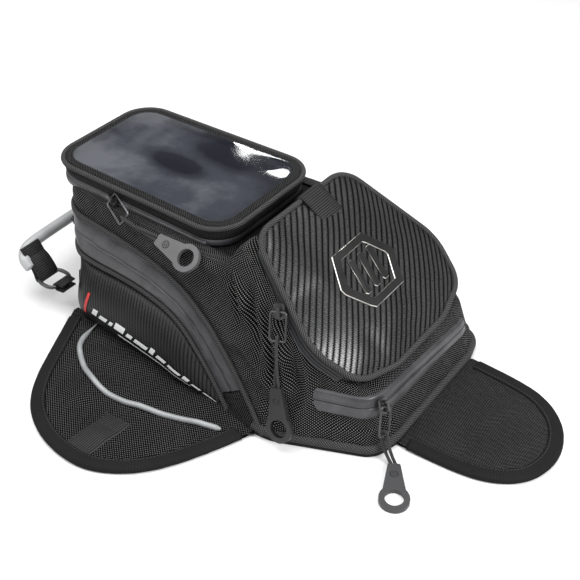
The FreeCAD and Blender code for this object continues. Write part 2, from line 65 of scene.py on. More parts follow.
# ---------------------------------------------------------------- materials
class Surface:
    """A procedural material; its methods add nodes and return output sockets."""

    def __init__(self, name, **values):
        self.mat = bpy.data.materials.new(name)
        self.mat.use_nodes = True
        self.tree = self.mat.node_tree
        self.bsdf = self.tree.nodes["Principled BSDF"]
        for key, value in values.items():
            self.bsdf.inputs[key.replace("_", " ")].default_value = value

    def add(self, kind, **props):
        node = self.tree.nodes.new(kind)
        for key, value in props.items():
            setattr(node, key, value)
        return node

    def join(self, socket, value):
        if isinstance(value, (int, float)):
            socket.default_value = value
        else:
            self.tree.links.new(value, socket)

    def math(self, operation, *values):
        node = self.add("ShaderNodeMath", operation=operation)
        for socket, value in zip(node.inputs, values):
            self.join(socket, value)
        return node.outputs[0]

    def uv(self):
        """The fabric's own coordinates in millimetres."""
        uv = self.add("ShaderNodeUVMap", uv_map="mm")
        parts = self.add("ShaderNodeSeparateXYZ")
        self.tree.links.new(uv.outputs[0], parts.inputs[0])
        return parts.outputs[0], parts.outputs[1]

    def place(self):
        """The place in the object's frame, in millimetres."""
        coords = self.add("ShaderNodeTexCoord")
        scaled = self.add("ShaderNodeVectorMath", operation="SCALE")
        self.tree.links.new(coords.outputs["Object"], scaled.inputs[0])
        scaled.inputs["Scale"].default_value = 1.0 / MM
        return scaled.outputs[0]

    def noise(self, scale, detail=3.0, rough=0.5):
        """Noise with about 1 / scale mm between its blotches."""
        node = self.add("ShaderNodeTexNoise")
        self.tree.links.new(self.place(), node.inputs["Vector"])
        node.inputs["Scale"].default_value = scale
        node.inputs["Detail"].default_value = detail
        node.inputs["Roughness"].default_value = rough
        return node.outputs[0]

    def wave(self, value, pitch, phase=0.0):
        """sin(pi value / pitch): one thread each pitch, alternately above and below zero."""
        return self.math("SINE", self.math("MULTIPLY_ADD", value, math.pi / pitch, phase))

    def ramp(self, fac, *stops):
        node = self.add("ShaderNodeValToRGB")
        while len(node.color_ramp.elements) < len(stops):
            node.color_ramp.elements.new(0.5)
        for element, (at, colour) in zip(node.color_ramp.elements, stops):
            element.position = at
            element.color = (*colour, 1.0) if isinstance(colour, tuple) else (colour, colour, colour, 1.0)
        self.join(node.inputs[0], fac)
        return node.outputs[0]

    def blend(self, fac, one, two):
        node = self.add("ShaderNodeMix", data_type="RGBA")
        self.join(node.inputs[0], fac)
        for socket, value in ((node.inputs[6], one), (node.inputs[7], two)):
            if isinstance(value, tuple):
                socket.default_value = (*value, 1.0)
            else:
                self.tree.links.new(value, socket)
        return node.outputs[2]

    def scale(self, colour, factor):
        """The colour times a number socket."""
        node = self.add("ShaderNodeMix", data_type="RGBA", blend_type="MULTIPLY")
        node.inputs[0].default_value = 1.0
        self.tree.links.new(colour, node.inputs[6])
        self.tree.links.new(factor, node.inputs[7])
        return node.outputs[2]

    def finish(self, colour=None, rough=None, height=None, depth=0.3, strength=0.8, alpha=None):
        """Links the pattern; depth is the relief's depth in millimetres."""
        if colour is not None:
            self.join(self.bsdf.inputs["Base Color"], colour)
        if rough is not None:
            self.join(self.bsdf.inputs["Roughness"], rough)
        if alpha is not None:
            self.join(self.bsdf.inputs["Alpha"], alpha)
        if height is not None:
            bump = self.add("ShaderNodeBump")
            bump.inputs["Strength"].default_value = strength
            bump.inputs["Distance"].default_value = depth * MM
            self.join(bump.inputs["Height"], height)
            self.tree.links.new(bump.outputs[0], self.bsdf.inputs["Normal"])
        return self.mat

    def plain_weave(self, pitch, skew=0.0):
        """Height of a plain weave: threads of one pitch that pass over and under each other."""
        u, v = self.uv()
        if skew:
            u = self.math("MULTIPLY_ADD", v, skew, u)
        a, b = self.wave(u, pitch), self.wave(v, pitch)
        over = self.math("GREATER_THAN", self.math("MULTIPLY", a, b), 0.0)
        a, b = self.math("ABSOLUTE", a), self.math("ABSOLUTE", b)
        warp = self.math("MULTIPLY", a, self.math("MULTIPLY_ADD", b, 0.6, 0.4))
        weft = self.math("MULTIPLY", b, self.math("MULTIPLY_ADD", a, 0.6, 0.4))
        return self.math("ADD", self.math("MULTIPLY", warp, over),
                         self.math("MULTIPLY", self.math("MULTIPLY", weft, 0.4), self.math("SUBTRACT", 1.0, over)))


def woven(name, pitch, dark, light, rough=0.66, depth=0.10, sheen=0.0, skew=0.0, wear=0.35):
    """Coarse black nylon: a plain weave whose thread tops are painted light, a painted highlight, over gaps painted
    dark, painted shade, with soft dusty variation.
    """
    s = Surface(name, Sheen_Weight=sheen, Sheen_Roughness=0.4, Specular_IOR_Level=0.05)
    height = s.plain_weave(pitch, skew)
    cloud = s.noise(0.02, 4.0)
    grain = s.noise(0.7, 2.0)
    tone = s.math("MULTIPLY", height, s.math("MULTIPLY_ADD", grain, 0.35, 0.82))
    # painted highlight and painted shade: the weave's height sets the colour, from dark gaps to thread tops far paler
    # than the black nylon
    colour = s.ramp(tone, (0.34, dark), (0.62, 0.12 * light), (0.92, light))
    colour = s.scale(colour, s.math("MULTIPLY_ADD", cloud, 2 * wear, 1.0 - wear))
    return s.finish(colour, s.math("MULTIPLY_ADD", grain, 0.25, rough - 0.12), height, depth)


def ribbed(name, pitch, stroke, dark, light, rough, depth, slant, sheen=0.0, coat=0.0, cross=0.35,
           shine=0.08):
    """Fabric or film with slanting ribs, each crossed by fine strokes the other way."""
    s = Surface(name, Sheen_Weight=sheen, Coat_Weight=coat, Coat_Roughness=0.25, Specular_IOR_Level=shine)
    u, v = s.uv()
    along = s.math("MULTIPLY_ADD", v, slant, u)
    rib = s.math("ABSOLUTE", s.wave(along, pitch))
    strokes = s.math("ABSOLUTE", s.wave(s.math("MULTIPLY_ADD", u, -slant, v), stroke))
    height = s.math("MULTIPLY", rib, s.math("MULTIPLY_ADD", strokes, cross, 1.0 - cross))
    grain = s.noise(0.5, 3.0)
    cloud = s.noise(0.015, 3.0)
    colour = s.ramp(s.math("MULTIPLY", height, s.math("MULTIPLY_ADD", grain, 0.8, 0.6)), (0.1, dark), (0.9, light))
    colour = s.scale(colour, s.math("MULTIPLY_ADD", cloud, 0.7, 0.65))
    return s.finish(colour, s.math("MULTIPLY_ADD", grain, 0.16, rough - 0.08), height, depth)


def twill_film():
    """Glossy film embossed like twill: broad slanting stripes made of short strokes that lean both ways."""
    s = Surface("carbon", Specular_IOR_Level=0.55)
    u, y = s.uv()
    along = s.math("MULTIPLY_ADD", y, 0.9, u)
    cross = s.math("MULTIPLY_ADD", u, -0.9, y)
    teeth = s.math("ABSOLUTE", s.wave(cross, 2.9))
    stripe = s.math("ABSOLUTE", s.wave(s.math("MULTIPLY_ADD", teeth, 1.7, along), 7.8))
    stroke = s.math("ABSOLUTE", s.wave(s.math("MULTIPLY_ADD", along, 0.7, cross), 1.9))
    height = s.math("MULTIPLY", stripe, s.math("MULTIPLY_ADD", stroke, 0.45, 0.55))
    grain, cloud = s.noise(0.6, 3.0), s.noise(0.016, 3.0)
    tone = s.math("MULTIPLY", height, s.math("MULTIPLY_ADD", grain, 0.8, 0.6))
    colour = s.ramp(tone, (0.25, 0.0008), (0.9, 0.034))
    colour = s.scale(colour, s.math("MULTIPLY_ADD", cloud, 1.2, 0.4))
    rough = s.math("MULTIPLY_ADD", grain, 0.16, s.math("MULTIPLY_ADD", height, -0.25, 0.42))
    s.join(s.bsdf.inputs["Specular IOR Level"], s.math("MULTIPLY_ADD", height, 1.1, -0.15))
    return s.finish(colour, rough, height, 0.16)


def film(name, tone, rough, blotch=0.5, scuff=0.25, coat=0.0, metallic=0.0, depth=0.03):
    """Smooth moulded or coated surface with cloudy tone, fine grain and scuffs."""
    s = Surface(name, Metallic=metallic, Coat_Weight=coat, Coat_Roughness=0.15)
    cloud, grain = s.noise(0.03, 4.0), s.noise(1.4, 3.0)
    low = tuple(c * (1 - blotch) for c in tone)
    high = tuple(min(1.0, c * (1 + blotch)) for c in tone)
    colour = s.ramp(s.math("ADD", s.math("MULTIPLY", cloud, 0.75), s.math("MULTIPLY", grain, 0.25)),
                    (0.3, low), (0.7, high))
    marks = s.math("POWER", s.noise(0.11, 5.0, 0.7), 2.0)
    return s.finish(colour, s.math("MULTIPLY_ADD", marks, scuff, rough), grain, depth, 0.4)


def tape_film(name, tone, rough):
    """Coated zip tape: satin film with the coil's fine cross ribs showing beside the slit."""
    s = Surface(name, Specular_IOR_Level=0.4)
    u, v = s.uv()
    near = s.math("LESS_THAN", s.math("ABSOLUTE", s.math("SUBTRACT", v, 3.0)), 2.6)
    ribs = s.math("MULTIPLY", s.math("ABSOLUTE", s.wave(u, 1.7)), near)
    fine = s.math("ABSOLUTE", s.wave(s.math("ADD", u, v), 0.9))
    cloud, grain = s.noise(0.035, 5.0, 0.6), s.noise(0.9, 3.0)
    fac = s.math("ADD", s.math("MULTIPLY", cloud, 0.8), s.math("MULTIPLY", grain, 0.2))
    colour = s.ramp(fac, (0.32, tuple(c * 0.55 for c in tone)), (0.68, tuple(c * 1.5 for c in tone)))
    colour = s.scale(colour, s.math("MULTIPLY_ADD", ribs, -0.35, 1.0))
    height = s.math("ADD", s.math("MULTIPLY", ribs, 0.9), s.math("MULTIPLY", fine, 0.16))
    return s.finish(colour, s.math("MULTIPLY_ADD", cloud, 0.25, rough - 0.12), height, 0.08)


def cord_surface(name, pitch, dark, light, rough=0.5):
    """Cord cover or piping cover: threads that run slantwise round it."""
    s = Surface(name, Specular_IOR_Level=0.06)
    u, v = s.uv()
    one = s.math("ABSOLUTE", s.wave(s.math("ADD", u, v), pitch))
    two = s.math("ABSOLUTE", s.wave(s.math("SUBTRACT", u, v), pitch))
    height = s.math("MULTIPLY", one, s.math("MULTIPLY_ADD", two, 0.5, 0.5))
    grain = s.noise(0.8, 3.0)
    colour = s.ramp(s.math("MULTIPLY", height, s.math("MULTIPLY_ADD", grain, 0.9, 0.55)), (0.1, dark), (0.9, light))
    return s.finish(colour, s.math("MULTIPLY_ADD", grain, 0.2, rough - 0.1), height, 0.2)


def window_surface():
    """Clear vinyl with a cloudy haze that comes and goes."""
    s = Surface("clear_window", Roughness=0.035, IOR=1.45, Specular_IOR_Level=0.45)
    haze = s.noise(0.011, 2.0, 0.5)
    fine = s.noise(0.05, 3.0, 0.6)
    parts = s.add("ShaderNodeSeparateXYZ")
    s.tree.links.new(s.place(), parts.inputs[0])

    def clear(x, y, half_x, half_y):
        """1 inside an oval part of the sheet that has no haze, and 0 far from it."""
        a = s.math("MULTIPLY_ADD", parts.outputs[0], 1 / half_x, -x / half_x)
        b = s.math("MULTIPLY_ADD", parts.outputs[1], 1 / half_y, -y / half_y)
        far = s.math("ADD", s.math("MULTIPLY", a, a), s.math("MULTIPLY", b, b))
        return s.math("DIVIDE", 1.0, s.math("ADD", 1.0, s.math("POWER", far, 2.5)))

    fac = s.math("ADD", s.math("MULTIPLY", haze, 0.85), s.math("MULTIPLY_ADD", fine, 0.25, -0.05))
    fac = s.math("ADD", fac, s.math("MULTIPLY_ADD", parts.outputs[0], -0.0012, -0.10))
    fac = s.math("SUBTRACT", fac, s.math("MULTIPLY", clear(-128, -3, 36, 13), 0.42))
    fac = s.math("SUBTRACT", fac, s.math("MULTIPLY", clear(-88, 40, 52, 20), 0.30))
    colour = s.ramp(fac, (0.26, (0.005, 0.006, 0.011)),
                    (0.5, (0.042, 0.046, 0.057)), (0.68, (0.14, 0.147, 0.163)))
    alpha = s.ramp(fac, (0.20, 0.85), (0.42, 0.42), (0.66, 0.58))
    return s.finish(colour, None, fine, 0.05, 0.05, alpha)


M = {
    # the last colour of each weave is the painted highlight on its thread tops
    "ballistic": woven("ballistic", 1.25, 0.0005, 0.26),
    "ballistic_fine": woven("ballistic_fine", 1.15, 0.0005, 0.15, depth=0.08),
    "flap_cloth": woven("flap_cloth", 1.5, 0.0005, 0.15, skew=0.12),
    "tongue_cloth": woven("tongue_cloth", 1.0, 0.002, 0.15, depth=0.07, wear=0.3),
    "webbing": ribbed("webbing", 2.2, 1.1, 0.001, 0.045, 0.55, 0.2, 0.0, cross=0.5),
    "binding": ribbed("binding", 1.3, 1.6, 0.001, 0.020, 0.7, 0.1, 0.0, cross=0.4),
    "side_weave": ribbed("side_weave", 3.9, 1.3, 0.0003, 0.026, 0.36, 0.16, 0.35, shine=0.20, cross=0.6),
    "carbon": twill_film(),
    "tape": tape_film("coated_tape", (0.056, 0.056, 0.060), 0.36),
    "tape_dark": tape_film("pocket_tape", (0.018, 0.018, 0.020), 0.42),
    "piping": cord_surface("piping", 2.6, 0.001, 0.085, 0.6),
    "coil": film("zip_coil", (0.03, 0.03, 0.032), 0.35),
    "thread": film("thread", (0.028, 0.028, 0.03), 0.6),
    "reflective": film("reflective", (0.27, 0.28, 0.285), 0.32, blotch=0.2, coat=0.3),
    "reflective_edge": film("reflective_edge", (0.045, 0.047, 0.05), 0.4, blotch=0.3),
    "emblem": film("emblem", (0.007, 0.0065, 0.0065), 0.35),
    "silver": film("silver_edge", (0.72, 0.71, 0.68), 0.22, blotch=0.15, metallic=1.0),
    "metal": film("hardware", (0.030, 0.030, 0.032), 0.28, coat=0.6, metallic=0.3),
    "steel": film("wire", (0.20, 0.20, 0.21), 0.25, blotch=0.6, metallic=0.9),
    "wire_dark": film("wire_dark", (0.035, 0.035, 0.037), 0.30, blotch=0.6, coat=0.4),
    "rubber": film("pull_rubber", (0.085, 0.085, 0.088), 0.46, blotch=0.18),
    "rubber_mid": film("pull_rubber_mid", (0.034, 0.034, 0.036), 0.42, blotch=0.2),
    "rubber_dark": film("pull_rubber_dark", (0.011, 0.011, 0.012), 0.38, blotch=0.2),
    "grip": film("grip", (0.34, 0.345, 0.35), 0.34, blotch=0.25, coat=0.25),
    "lining": woven("lining", 0.7, 0.006, 0.05, depth=0.05),
    "board": film("board", (0.05, 0.048, 0.045), 0.7),
    "magnet": film("magnet", (0.16, 0.16, 0.17), 0.4, metallic=0.8),
    "white_print": film("white_print", (0.72, 0.73, 0.73), 0.4, blotch=0.12),
    "red_print": film("red_print", (0.55, 0.025, 0.02), 0.4, blotch=0.15),
    "window": window_surface(),
    "map_panel": ribbed("map_panel", 1.5, 6.0, (0.010, 0.012, 0.018), (0.085, 0.092, 0.112), 0.5, 0.1, 0.15,
                        cross=0.1),
}


# ---------------------------------------------------------------- curves and shapes
def norm(v):
    v = np.asarray(v, float)
    return v / np.maximum(np.linalg.norm(v, axis=-1, keepdims=True), 1e-9)


def rounded(points, steps, arc=10):
    """Line of (x, y, radius) corners: steps[i] pieces along each straight run and arc pieces round each corner."""
    pts = [np.array(p[:2], float) for p in points]
    out, start = [], pts[0]
    for i in range(1, len(pts) - 1):
        a, b = norm(pts[i] - pts[i - 1]), norm(pts[i + 1] - pts[i])
        cross = a[0] * b[1] - a[1] * b[0]
        turn = math.atan2(abs(cross), float(a @ b))
        reach = points[i][2] * math.tan(turn / 2)
        first, last = pts[i] - a * reach, pts[i] + b * reach
        out += [start + (first - start) * k / steps[i - 1] for k in range(steps[i - 1])]
        sign = 1.0 if cross > 0 else -1.0
        centre = first + np.array([-a[1], a[0]]) * sign * points[i][2]
        for k in range(arc):
            angle = sign * turn * k / arc
            d = first - centre
            out.append(centre + np.array([d[0] * math.cos(angle) - d[1] * math.sin(angle),
                                          d[0] * math.sin(angle) + d[1] * math.cos(angle)]))
        start = last
    out += [start + (pts[-1] - start) * k / steps[-1] for k in range(steps[-1] + 1)]
    return np.array(out)


def resample(path, count, closed=False):
    """count points evenly along a line."""
    path = np.asarray(path, float)
    if closed:
        path = np.vstack([path, path[:1]])
    size = np.r_[0.0, np.cumsum(np.linalg.norm(np.diff(path, axis=0), axis=1))]
    at = np.linspace(0, size[-1], count + 1)[:-1] if closed else np.linspace(0, size[-1], count)
    return np.stack([np.interp(at, size, path[:, k]) for k in range(path.shape[1])], 1)


def smooth(points, count, closed=False):
    """Evenly sampled curve that rounds off the corners of a coarse line."""
    p = np.asarray(points, float)
    for _ in range(4):
        if closed:
            nxt = np.roll(p, -1, 0)
            p = np.stack([0.75 * p + 0.25 * nxt, 0.25 * p + 0.75 * nxt], 1).reshape(-1, p.shape[1])
        else:
            inner = np.stack([0.75 * p[:-1] + 0.25 * p[1:], 0.25 * p[:-1] + 0.75 * p[1:]], 1).reshape(-1, p.shape[1])
            p = np.vstack([p[:1], inner[1:-1], p[-1:]])
    return resample(p, count, closed)


def ripple(x, y, seed, wavelength=60.0):
    """Soft folds, about -1 to 1: a few crossing waves of uneven length."""
    r = np.random.default_rng(seed)
    total = 0.0
    for k in range(6):
        angle, phase = r.uniform(0, math.pi), r.uniform(0, 2 * math.pi)
        length = wavelength * r.uniform(0.5, 1.6)
        bend = 0.6 * np.sin((x * math.sin(angle) - y * math.cos(angle)) * 2 * math.pi / (2.3 * length) + phase)
        total = total + np.sin((x * math.cos(angle) + y * math.sin(angle)) * 2 * math.pi / length + phase + bend)
    return total / 3.5


def link(name, verts, faces, uvs, mats, face_mats=None, soft=True):
    """Object from vertices in millimetres; uvs holds one pair for each face corner."""
    mesh = bpy.data.meshes.new(name)
    mesh.from_pydata((np.asarray(verts, float) * MM).tolist(), [], faces)
    layer = mesh.uv_layers.new(name="mm")
    layer.data.foreach_set("uv", np.asarray(uvs, np.float32).ravel())
    for m in mats if isinstance(mats, (list, tuple)) else [mats]:
        mesh.materials.append(M[m])
    if face_mats is not None:
        mesh.polygons.foreach_set("material_index", np.asarray(face_mats, np.int32))
    mesh.polygons.foreach_set("use_smooth", [soft] * len(mesh.polygons))
    mesh.update()
    obj = bpy.data.objects.new(name, mesh)
    bpy.context.scene.collection.objects.link(obj)
    return obj


def grid(name, points, uv, mats, close=False, row_mats=None):
    """Sheet of a (rows, columns, 3) array. uv is (rows, columns, 2), with one more column if it closes."""
    rows, cols = points.shape[:2]
    count = cols if close else cols - 1
    faces, corners, face_mats = [], [], []
    for i in range(rows - 1):
        for j in range(count):
            k = (j + 1) % cols
            faces.append((i * cols + j, i * cols + k, (i + 1) * cols + k, (i + 1) * cols + j))
            corners += [uv[i][j], uv[i][j + 1], uv[i + 1][j + 1], uv[i + 1][j]]
            face_mats.append(row_mats[i] if row_mats is not None else 0)
    return link(name, points.reshape(-1, 3), faces, corners, mats, face_mats)


def sweep(name, path, across, up, profile, mats, closed=False, cap=True, widths=None):
    """A closed profile of (across, up) pairs carried along a path; widths scales it at each point."""
    path, profile = np.asarray(path, float), np.asarray(profile, float)
    n, m = len(path), len(profile)
    widths = np.ones(n) if widths is None else np.asarray(widths, float)
    points = (path[:, None] + across[:, None] * (profile[None, :, :1] * widths[:, None, None])
              + up[:, None] * (profile[None, :, 1:] * widths[:, None, None]))
    ring = np.r_[0, np.cumsum(np.linalg.norm(np.diff(np.vstack([profile, profile[:1]]), axis=0), axis=1))]
    ends = np.vstack([path, path[:1]]) if closed else path
    run = np.r_[0, np.cumsum(np.linalg.norm(np.diff(ends, axis=0), axis=1))]
    faces, corners = [], []
    for i in range(n if closed else n - 1):
        k = (i + 1) % n
        for j in range(m):
            l = (j + 1) % m
            faces.append((i * m + j, k * m + j, k * m + l, i * m + l))
            corners += [(run[i], ring[j]), (run[i + 1], ring[j]), (run[i + 1], ring[j + 1]), (run[i], ring[j + 1])]
    if cap and not closed:
        for row, order in ((0, range(m)), (n - 1, range(m - 1, -1, -1))):
            face = [row * m + j for j in order]
            faces.append(face)
            corners += [tuple(profile[j]) for j in order]
    return link(name, points.reshape(-1, 3), faces, corners, mats)


def tangents(path, closed=False):
    path = np.asarray(path, float)
    if closed:
        return norm(np.roll(path, -1, 0) - np.roll(path, 1, 0))
    return norm(np.gradient(path, axis=0))


def tube(name, path, radius, mats, closed=False, sides=10, widths=None, hint=(0, 0, 1)):
    """Round tube along a path; hint is a direction that the path never takes."""
    t = tangents(path, closed)
    across = norm(np.cross(t, np.asarray(hint, float)))
    up = np.cross(across, t)
    a = np.linspace(0, 2 * math.pi, sides, endpoint=False)
    profile = np.stack([np.cos(a), np.sin(a)], 1) * radius
    return sweep(name, path, across, up, profile, mats, closed, widths=widths)


def panel(name, loop, place, height, mats, count=60, margin=45.0):
    """Sheet inside a loop of (a, b) points that is the same on both sides of b = 0. place(a, b, h) puts it in the frame,
    height(a, b, r) is its relief and r runs from 1 at the edge to 0 at margin inside it; r is handed back too."""
    loop = np.asarray(loop, float)
    half = loop[loop[:, 1] <= 1e-6]
    half = half[np.argsort(half[:, 0], kind="stable")]
    first, last = half[0, 0] + 0.01, half[-1, 0] - 0.01
    along = (first + last) / 2 - (last - first) / 2 * np.cos(np.linspace(0, math.pi, count))
    wide = np.interp(along, half[:, 0], -half[:, 1])
    a = np.repeat(along[:, None], count, 1)
    b = wide[:, None] * np.sin(np.linspace(math.pi / 2, -math.pi / 2, count))
    dense = resample(loop, 400, True)
    far = np.hypot(a[..., None] - dense[:, 0], b[..., None] - dense[:, 1]).min(-1)
    r = 1 - np.clip(far / margin, 0, 1)
    r[[0, -1]] = 1
    r[:, [0, -1]] = 1
    obj = grid(name, place(a, b, height(a, b, r)), np.stack([a, b], -1), mats)
    return obj, r.ravel()


def dashes(name, path, up, mat, pitch=3.4, length=2.3, half=0.38, across=None, lift=0.15, closed=False):
    """A row of stitches, or of zip teeth when across is given: one small pointed bead each pitch."""
    path = np.asarray(path, float)
    size = np.linalg.norm(np.diff(path, axis=0), axis=1).sum()
    count = max(2, int(size / pitch))
    at = resample(path, count, closed)
    ups = norm(resample(np.asarray(up, float), count, closed)) if np.ndim(up) > 1 else np.tile(norm(up), (count, 1))
    t = tangents(at, closed)
    side = norm(np.cross(t, ups))
    if across is not None:
        t, side = side, t
        length = across
    verts, faces, corners = [], [], []
    for p, d, s, n in zip(at, t, side, ups):
        p = p + n * lift
        k = len(verts)
        e, w = d * length / 2, s * half
        verts += [p - e, p - e * 0.6 + w, p - e * 0.6 + n * half, p - e * 0.6 - w,
                  p + e * 0.6 + w, p + e * 0.6 + n * half, p + e * 0.6 - w, p + e]
        for f in ((0, 1, 2), (0, 2, 3), (1, 4, 5, 2), (2, 5, 6, 3), (4, 7, 5), (5, 7, 6)):
            faces.append(tuple(k + x for x in f))
            corners += [(0.0, 0.0)] * len(f)
    return link(name, verts, faces, corners, mat)


def joined(name, *objs):
    """One object of several; their materials come along."""
    with bpy.context.temp_override(active_object=objs[0], selected_editable_objects=list(objs)):
        bpy.ops.object.join()
    objs[0].name = name
    return objs[0]


def subdivide(obj, levels=1):
    mod = obj.modifiers.new("Subdivision", "SUBSURF")
    mod.levels = mod.render_levels = levels
    return obj


def thicken(obj, thick, inner=None):
    """Gives a sheet its thickness on the inside, with another material there if one is named."""
    mod = obj.modifiers.new("Thickness", "SOLIDIFY")
    mod.thickness = thick * MM
    mod.offset = -1.0
    if inner is not None:
        obj.data.materials.append(M[inner])
        mod.material_offset = len(obj.data.materials) - 1
    return obj


def mirrored(obj, name):
    """A copy on the bag's other side."""
    copy = bpy.data.objects.new(name, obj.data.copy())
    bpy.context.scene.collection.objects.link(copy)
    copy.data.transform(Matrix.Scale(-1.0, 4, Vector((0, 1, 0))))
    copy.data.flip_normals()
    for mod in obj.modifiers:
        new = copy.modifiers.new(mod.name, mod.type)
        for key in ("levels", "render_levels", "thickness", "offset", "material_offset"):
            if hasattr(mod, key):
                setattr(new, key, getattr(mod, key))
    return copy


def settle(obj, pins, pressure, growth, cap, frames=16, stiff=12.0, bend=0.4):
    """Lets the cloth swell and wrinkle between its pinned seams, and keeps the result in the mesh."""
    mesh = obj.data
    group = obj.vertex_groups.new(name="pin")
    for i, w in enumerate(pins):
        if w > 0:
            group.add([i], float(w), "REPLACE")
    mod = obj.modifiers.new("Cloth", "CLOTH")
    s = mod.settings
    s.quality = 4
    s.mass = 0.15
    s.tension_stiffness = s.compression_stiffness = stiff
    s.shear_stiffness = stiff / 2
    s.bending_stiffness = bend
    s.air_damping = 3.0
    s.vertex_group_mass = "pin"
    s.use_pressure = True
    s.uniform_pressure_force = pressure
    s.shrink_min = -growth
    s.effector_weights.gravity = 0.0
    mod.collision_settings.use_collision = False
    mod.point_cache.frame_start, mod.point_cache.frame_end = 1, frames
    for f in range(1, frames + 1):
        bpy.context.scene.frame_set(f)
    shaped = obj.evaluated_get(bpy.context.evaluated_depsgraph_get()).to_mesh()
    rest, now = np.zeros(len(mesh.vertices) * 3), np.zeros(len(mesh.vertices) * 3)
    mesh.vertices.foreach_get("co", rest)
    shaped.vertices.foreach_get("co", now)
    obj.modifiers.remove(mod)
    move = (now - rest).reshape(-1, 3)
    size = np.linalg.norm(move, axis=1, keepdims=True)
    move *= np.minimum(1.0, cap * MM / np.maximum(size, 1e-9))
    mesh.vertices.foreach_set("co", (rest.reshape(-1, 3) + move).ravel())
    mesh.update()
    bpy.context.scene.frame_set(1)


def put(obj, body, *nodes, slot=None):
    """The piece rides on a body and stands for CAD nodes, which are hidden; slot is not used."""
    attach(obj, body)
    if nodes:
        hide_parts(*nodes)
    return obj


# ---------------------------------------------------------------- cords
CORDS = {
    "lid": ([(-75.8, -86.5, 130.2), (-91.1, -87.4, 131.3), (-106.5, -89.4, 132.5), (-124.8, -86.9, 134.5),
             (-123.1, -81.1, 129.9), (-105.5, -86.6, 128.7), (-90.9, -87.4, 128.3), (-76.2, -89.5, 127.8)], 101.6),
    "pocket": ([(87.3, -121.4, 59.0), (83.6, -118.6, 71.9), (80.8, -115.6, 84.8), (75.7, -108.8, 101.5),
                (73.6, -102.3, 98.3), (78.2, -111.4, 82.2), (80.4, -116.6, 70.1), (83.7, -121.8, 58.0)], 96.4),
    "front": ([(192.9, -91.5, 2.3), (187.3, -89.2, 6.8), (182.5, -87.8, 15.0), (178.0, -84.4, 28.3),
               (170.6, -84.1, 26.7), (176.5, -88.2, 14.0), (182.7, -90.4, 6.2), (189.7, -93.5, 2.3)], 69.2),
}
CORD_D = 3.0


def pull_cord(name, route):
    curve = bpy.data.curves.new(name + "_pull_cord_line", "CURVE")
    curve.dimensions = "3D"
    spline = curve.splines.new("NURBS")
    spline.points.add(len(route) - 1)
    for point, place in zip(spline.points, route):
        point.co = (*(c * MM for c in place), 1.0)
    spline.order_u = 3
    spline.use_endpoint_u = True
    spline.resolution_u = 12
    curve.bevel_depth = CORD_D / 2 * MM
    curve.bevel_resolution = 3
    curve.materials.append(M["cord_plain"])
    obj = bpy.data.objects.new(name + "_cord", curve)
    bpy.context.scene.collection.objects.link(obj)
    put(obj, name + "_pull", name + "_pull_cord", slot="cord")
    return obj


def braid():
    """Braided cord cover that needs no coordinates of its own: fine slanting threads in the frame's axes."""
    s = Surface("cord_cover", Specular_IOR_Level=0.25)
    parts = s.add("ShaderNodeSeparateXYZ")
    s.tree.links.new(s.place(), parts.inputs[0])
    x, y, z = parts.outputs
    one = s.math("ABSOLUTE", s.wave(s.math("ADD", s.math("ADD", x, y), z), 0.8))
    two = s.math("ABSOLUTE", s.wave(s.math("SUBTRACT", s.math("SUBTRACT", x, y), z), 0.8))
    height = s.math("MULTIPLY", one, two)
    grain = s.noise(0.9, 3.0)
    colour = s.ramp(s.math("MULTIPLY_ADD", grain, 0.4, s.math("MULTIPLY", height, 0.7)), (0.15, 0.012), (0.9, 0.07))
    return s.finish(colour, s.math("MULTIPLY_ADD", grain, 0.2, 0.45), height, 0.25)


M["cord_plain"] = braid()
for cord_name, (cord_route, cord_length) in CORDS.items():
    pull_cord(cord_name, cord_route)

# ---------------------------------------------------------------- body surface
UPPER_Z = 160.0
STEPS = [24, 70, 24, 6, 18]
LOW = rounded([(-187, 0, 0), (-187, -106, 25), (80, -133, 60), (171, -93, 22), (178, -66, 20), (178, 0, 0)], STEPS)
HIGH = rounded([(-227, 0, 0), (-227, -62, 28), (80, -76, 40), (126, -72, 14), (127, -56, 12), (127, 0, 0)], STEPS)
LAST = len(LOW) - 1
REAR_Q = 24        # where the rear corner starts
FRONT_Q = 100      # where the front wall starts
_mid = (LOW + HIGH) / 2
_t = tangents(_mid)
NORMAL = np.stack([_t[:, 1], -_t[:, 0]], 1)
ROUND = np.r_[0, np.cumsum(np.linalg.norm(np.diff(_mid, axis=0), axis=1))]


def pick(table, q):
    index = np.arange(len(table))
    return np.stack([np.interp(q, index, table[:, k]) for k in range(table.shape[1])], -1)


def wall(q, z, off=0.0):
    """A place on the body: q runs from the rear middle round the left side to the front middle, and below zero round
    the right side; off is how far it stands off the wall."""
    q, z, off = np.broadcast_arrays(np.asarray(q, float), np.asarray(z, float), np.asarray(off, float))
    a = np.abs(q)
    t = (z / UPPER_Z)[..., None]
    p = pick(LOW, a) * (1 - t) + pick(HIGH, a) * t + norm(pick(NORMAL, a)) * off[..., None]
    return np.stack([p[..., 0], p[..., 1] * np.where(q < 0, -1.0, 1.0), z], -1)


def outward(q):
    n = norm(pick(NORMAL, np.abs(q)))
    return np.stack([n[..., 0], n[..., 1] * np.where(np.asarray(q) < 0, -1.0, 1.0), np.full(n.shape[:-1], 0.18)], -1)


def q_at(x, z):
    """q of the left wall at a place in the side view."""
    t = z / UPPER_Z
    xs = LOW[:, 0] * (1 - t) + HIGH[:, 0] * t
    return float(np.interp(x, xs[REAR_Q:], np.arange(REAR_Q, LAST + 1)))


def front_q(y, z):
    """q of the front wall at a distance y from the middle plane; it is signed like q."""
    t = z / UPPER_Z
    ys = (LOW[:, 1] * (1 - t) + HIGH[:, 1] * t)[FRONT_Q:]
    q = float(np.interp(-abs(y), ys, np.arange(FRONT_Q, LAST + 1)))
    return q if y <= 0 else -q


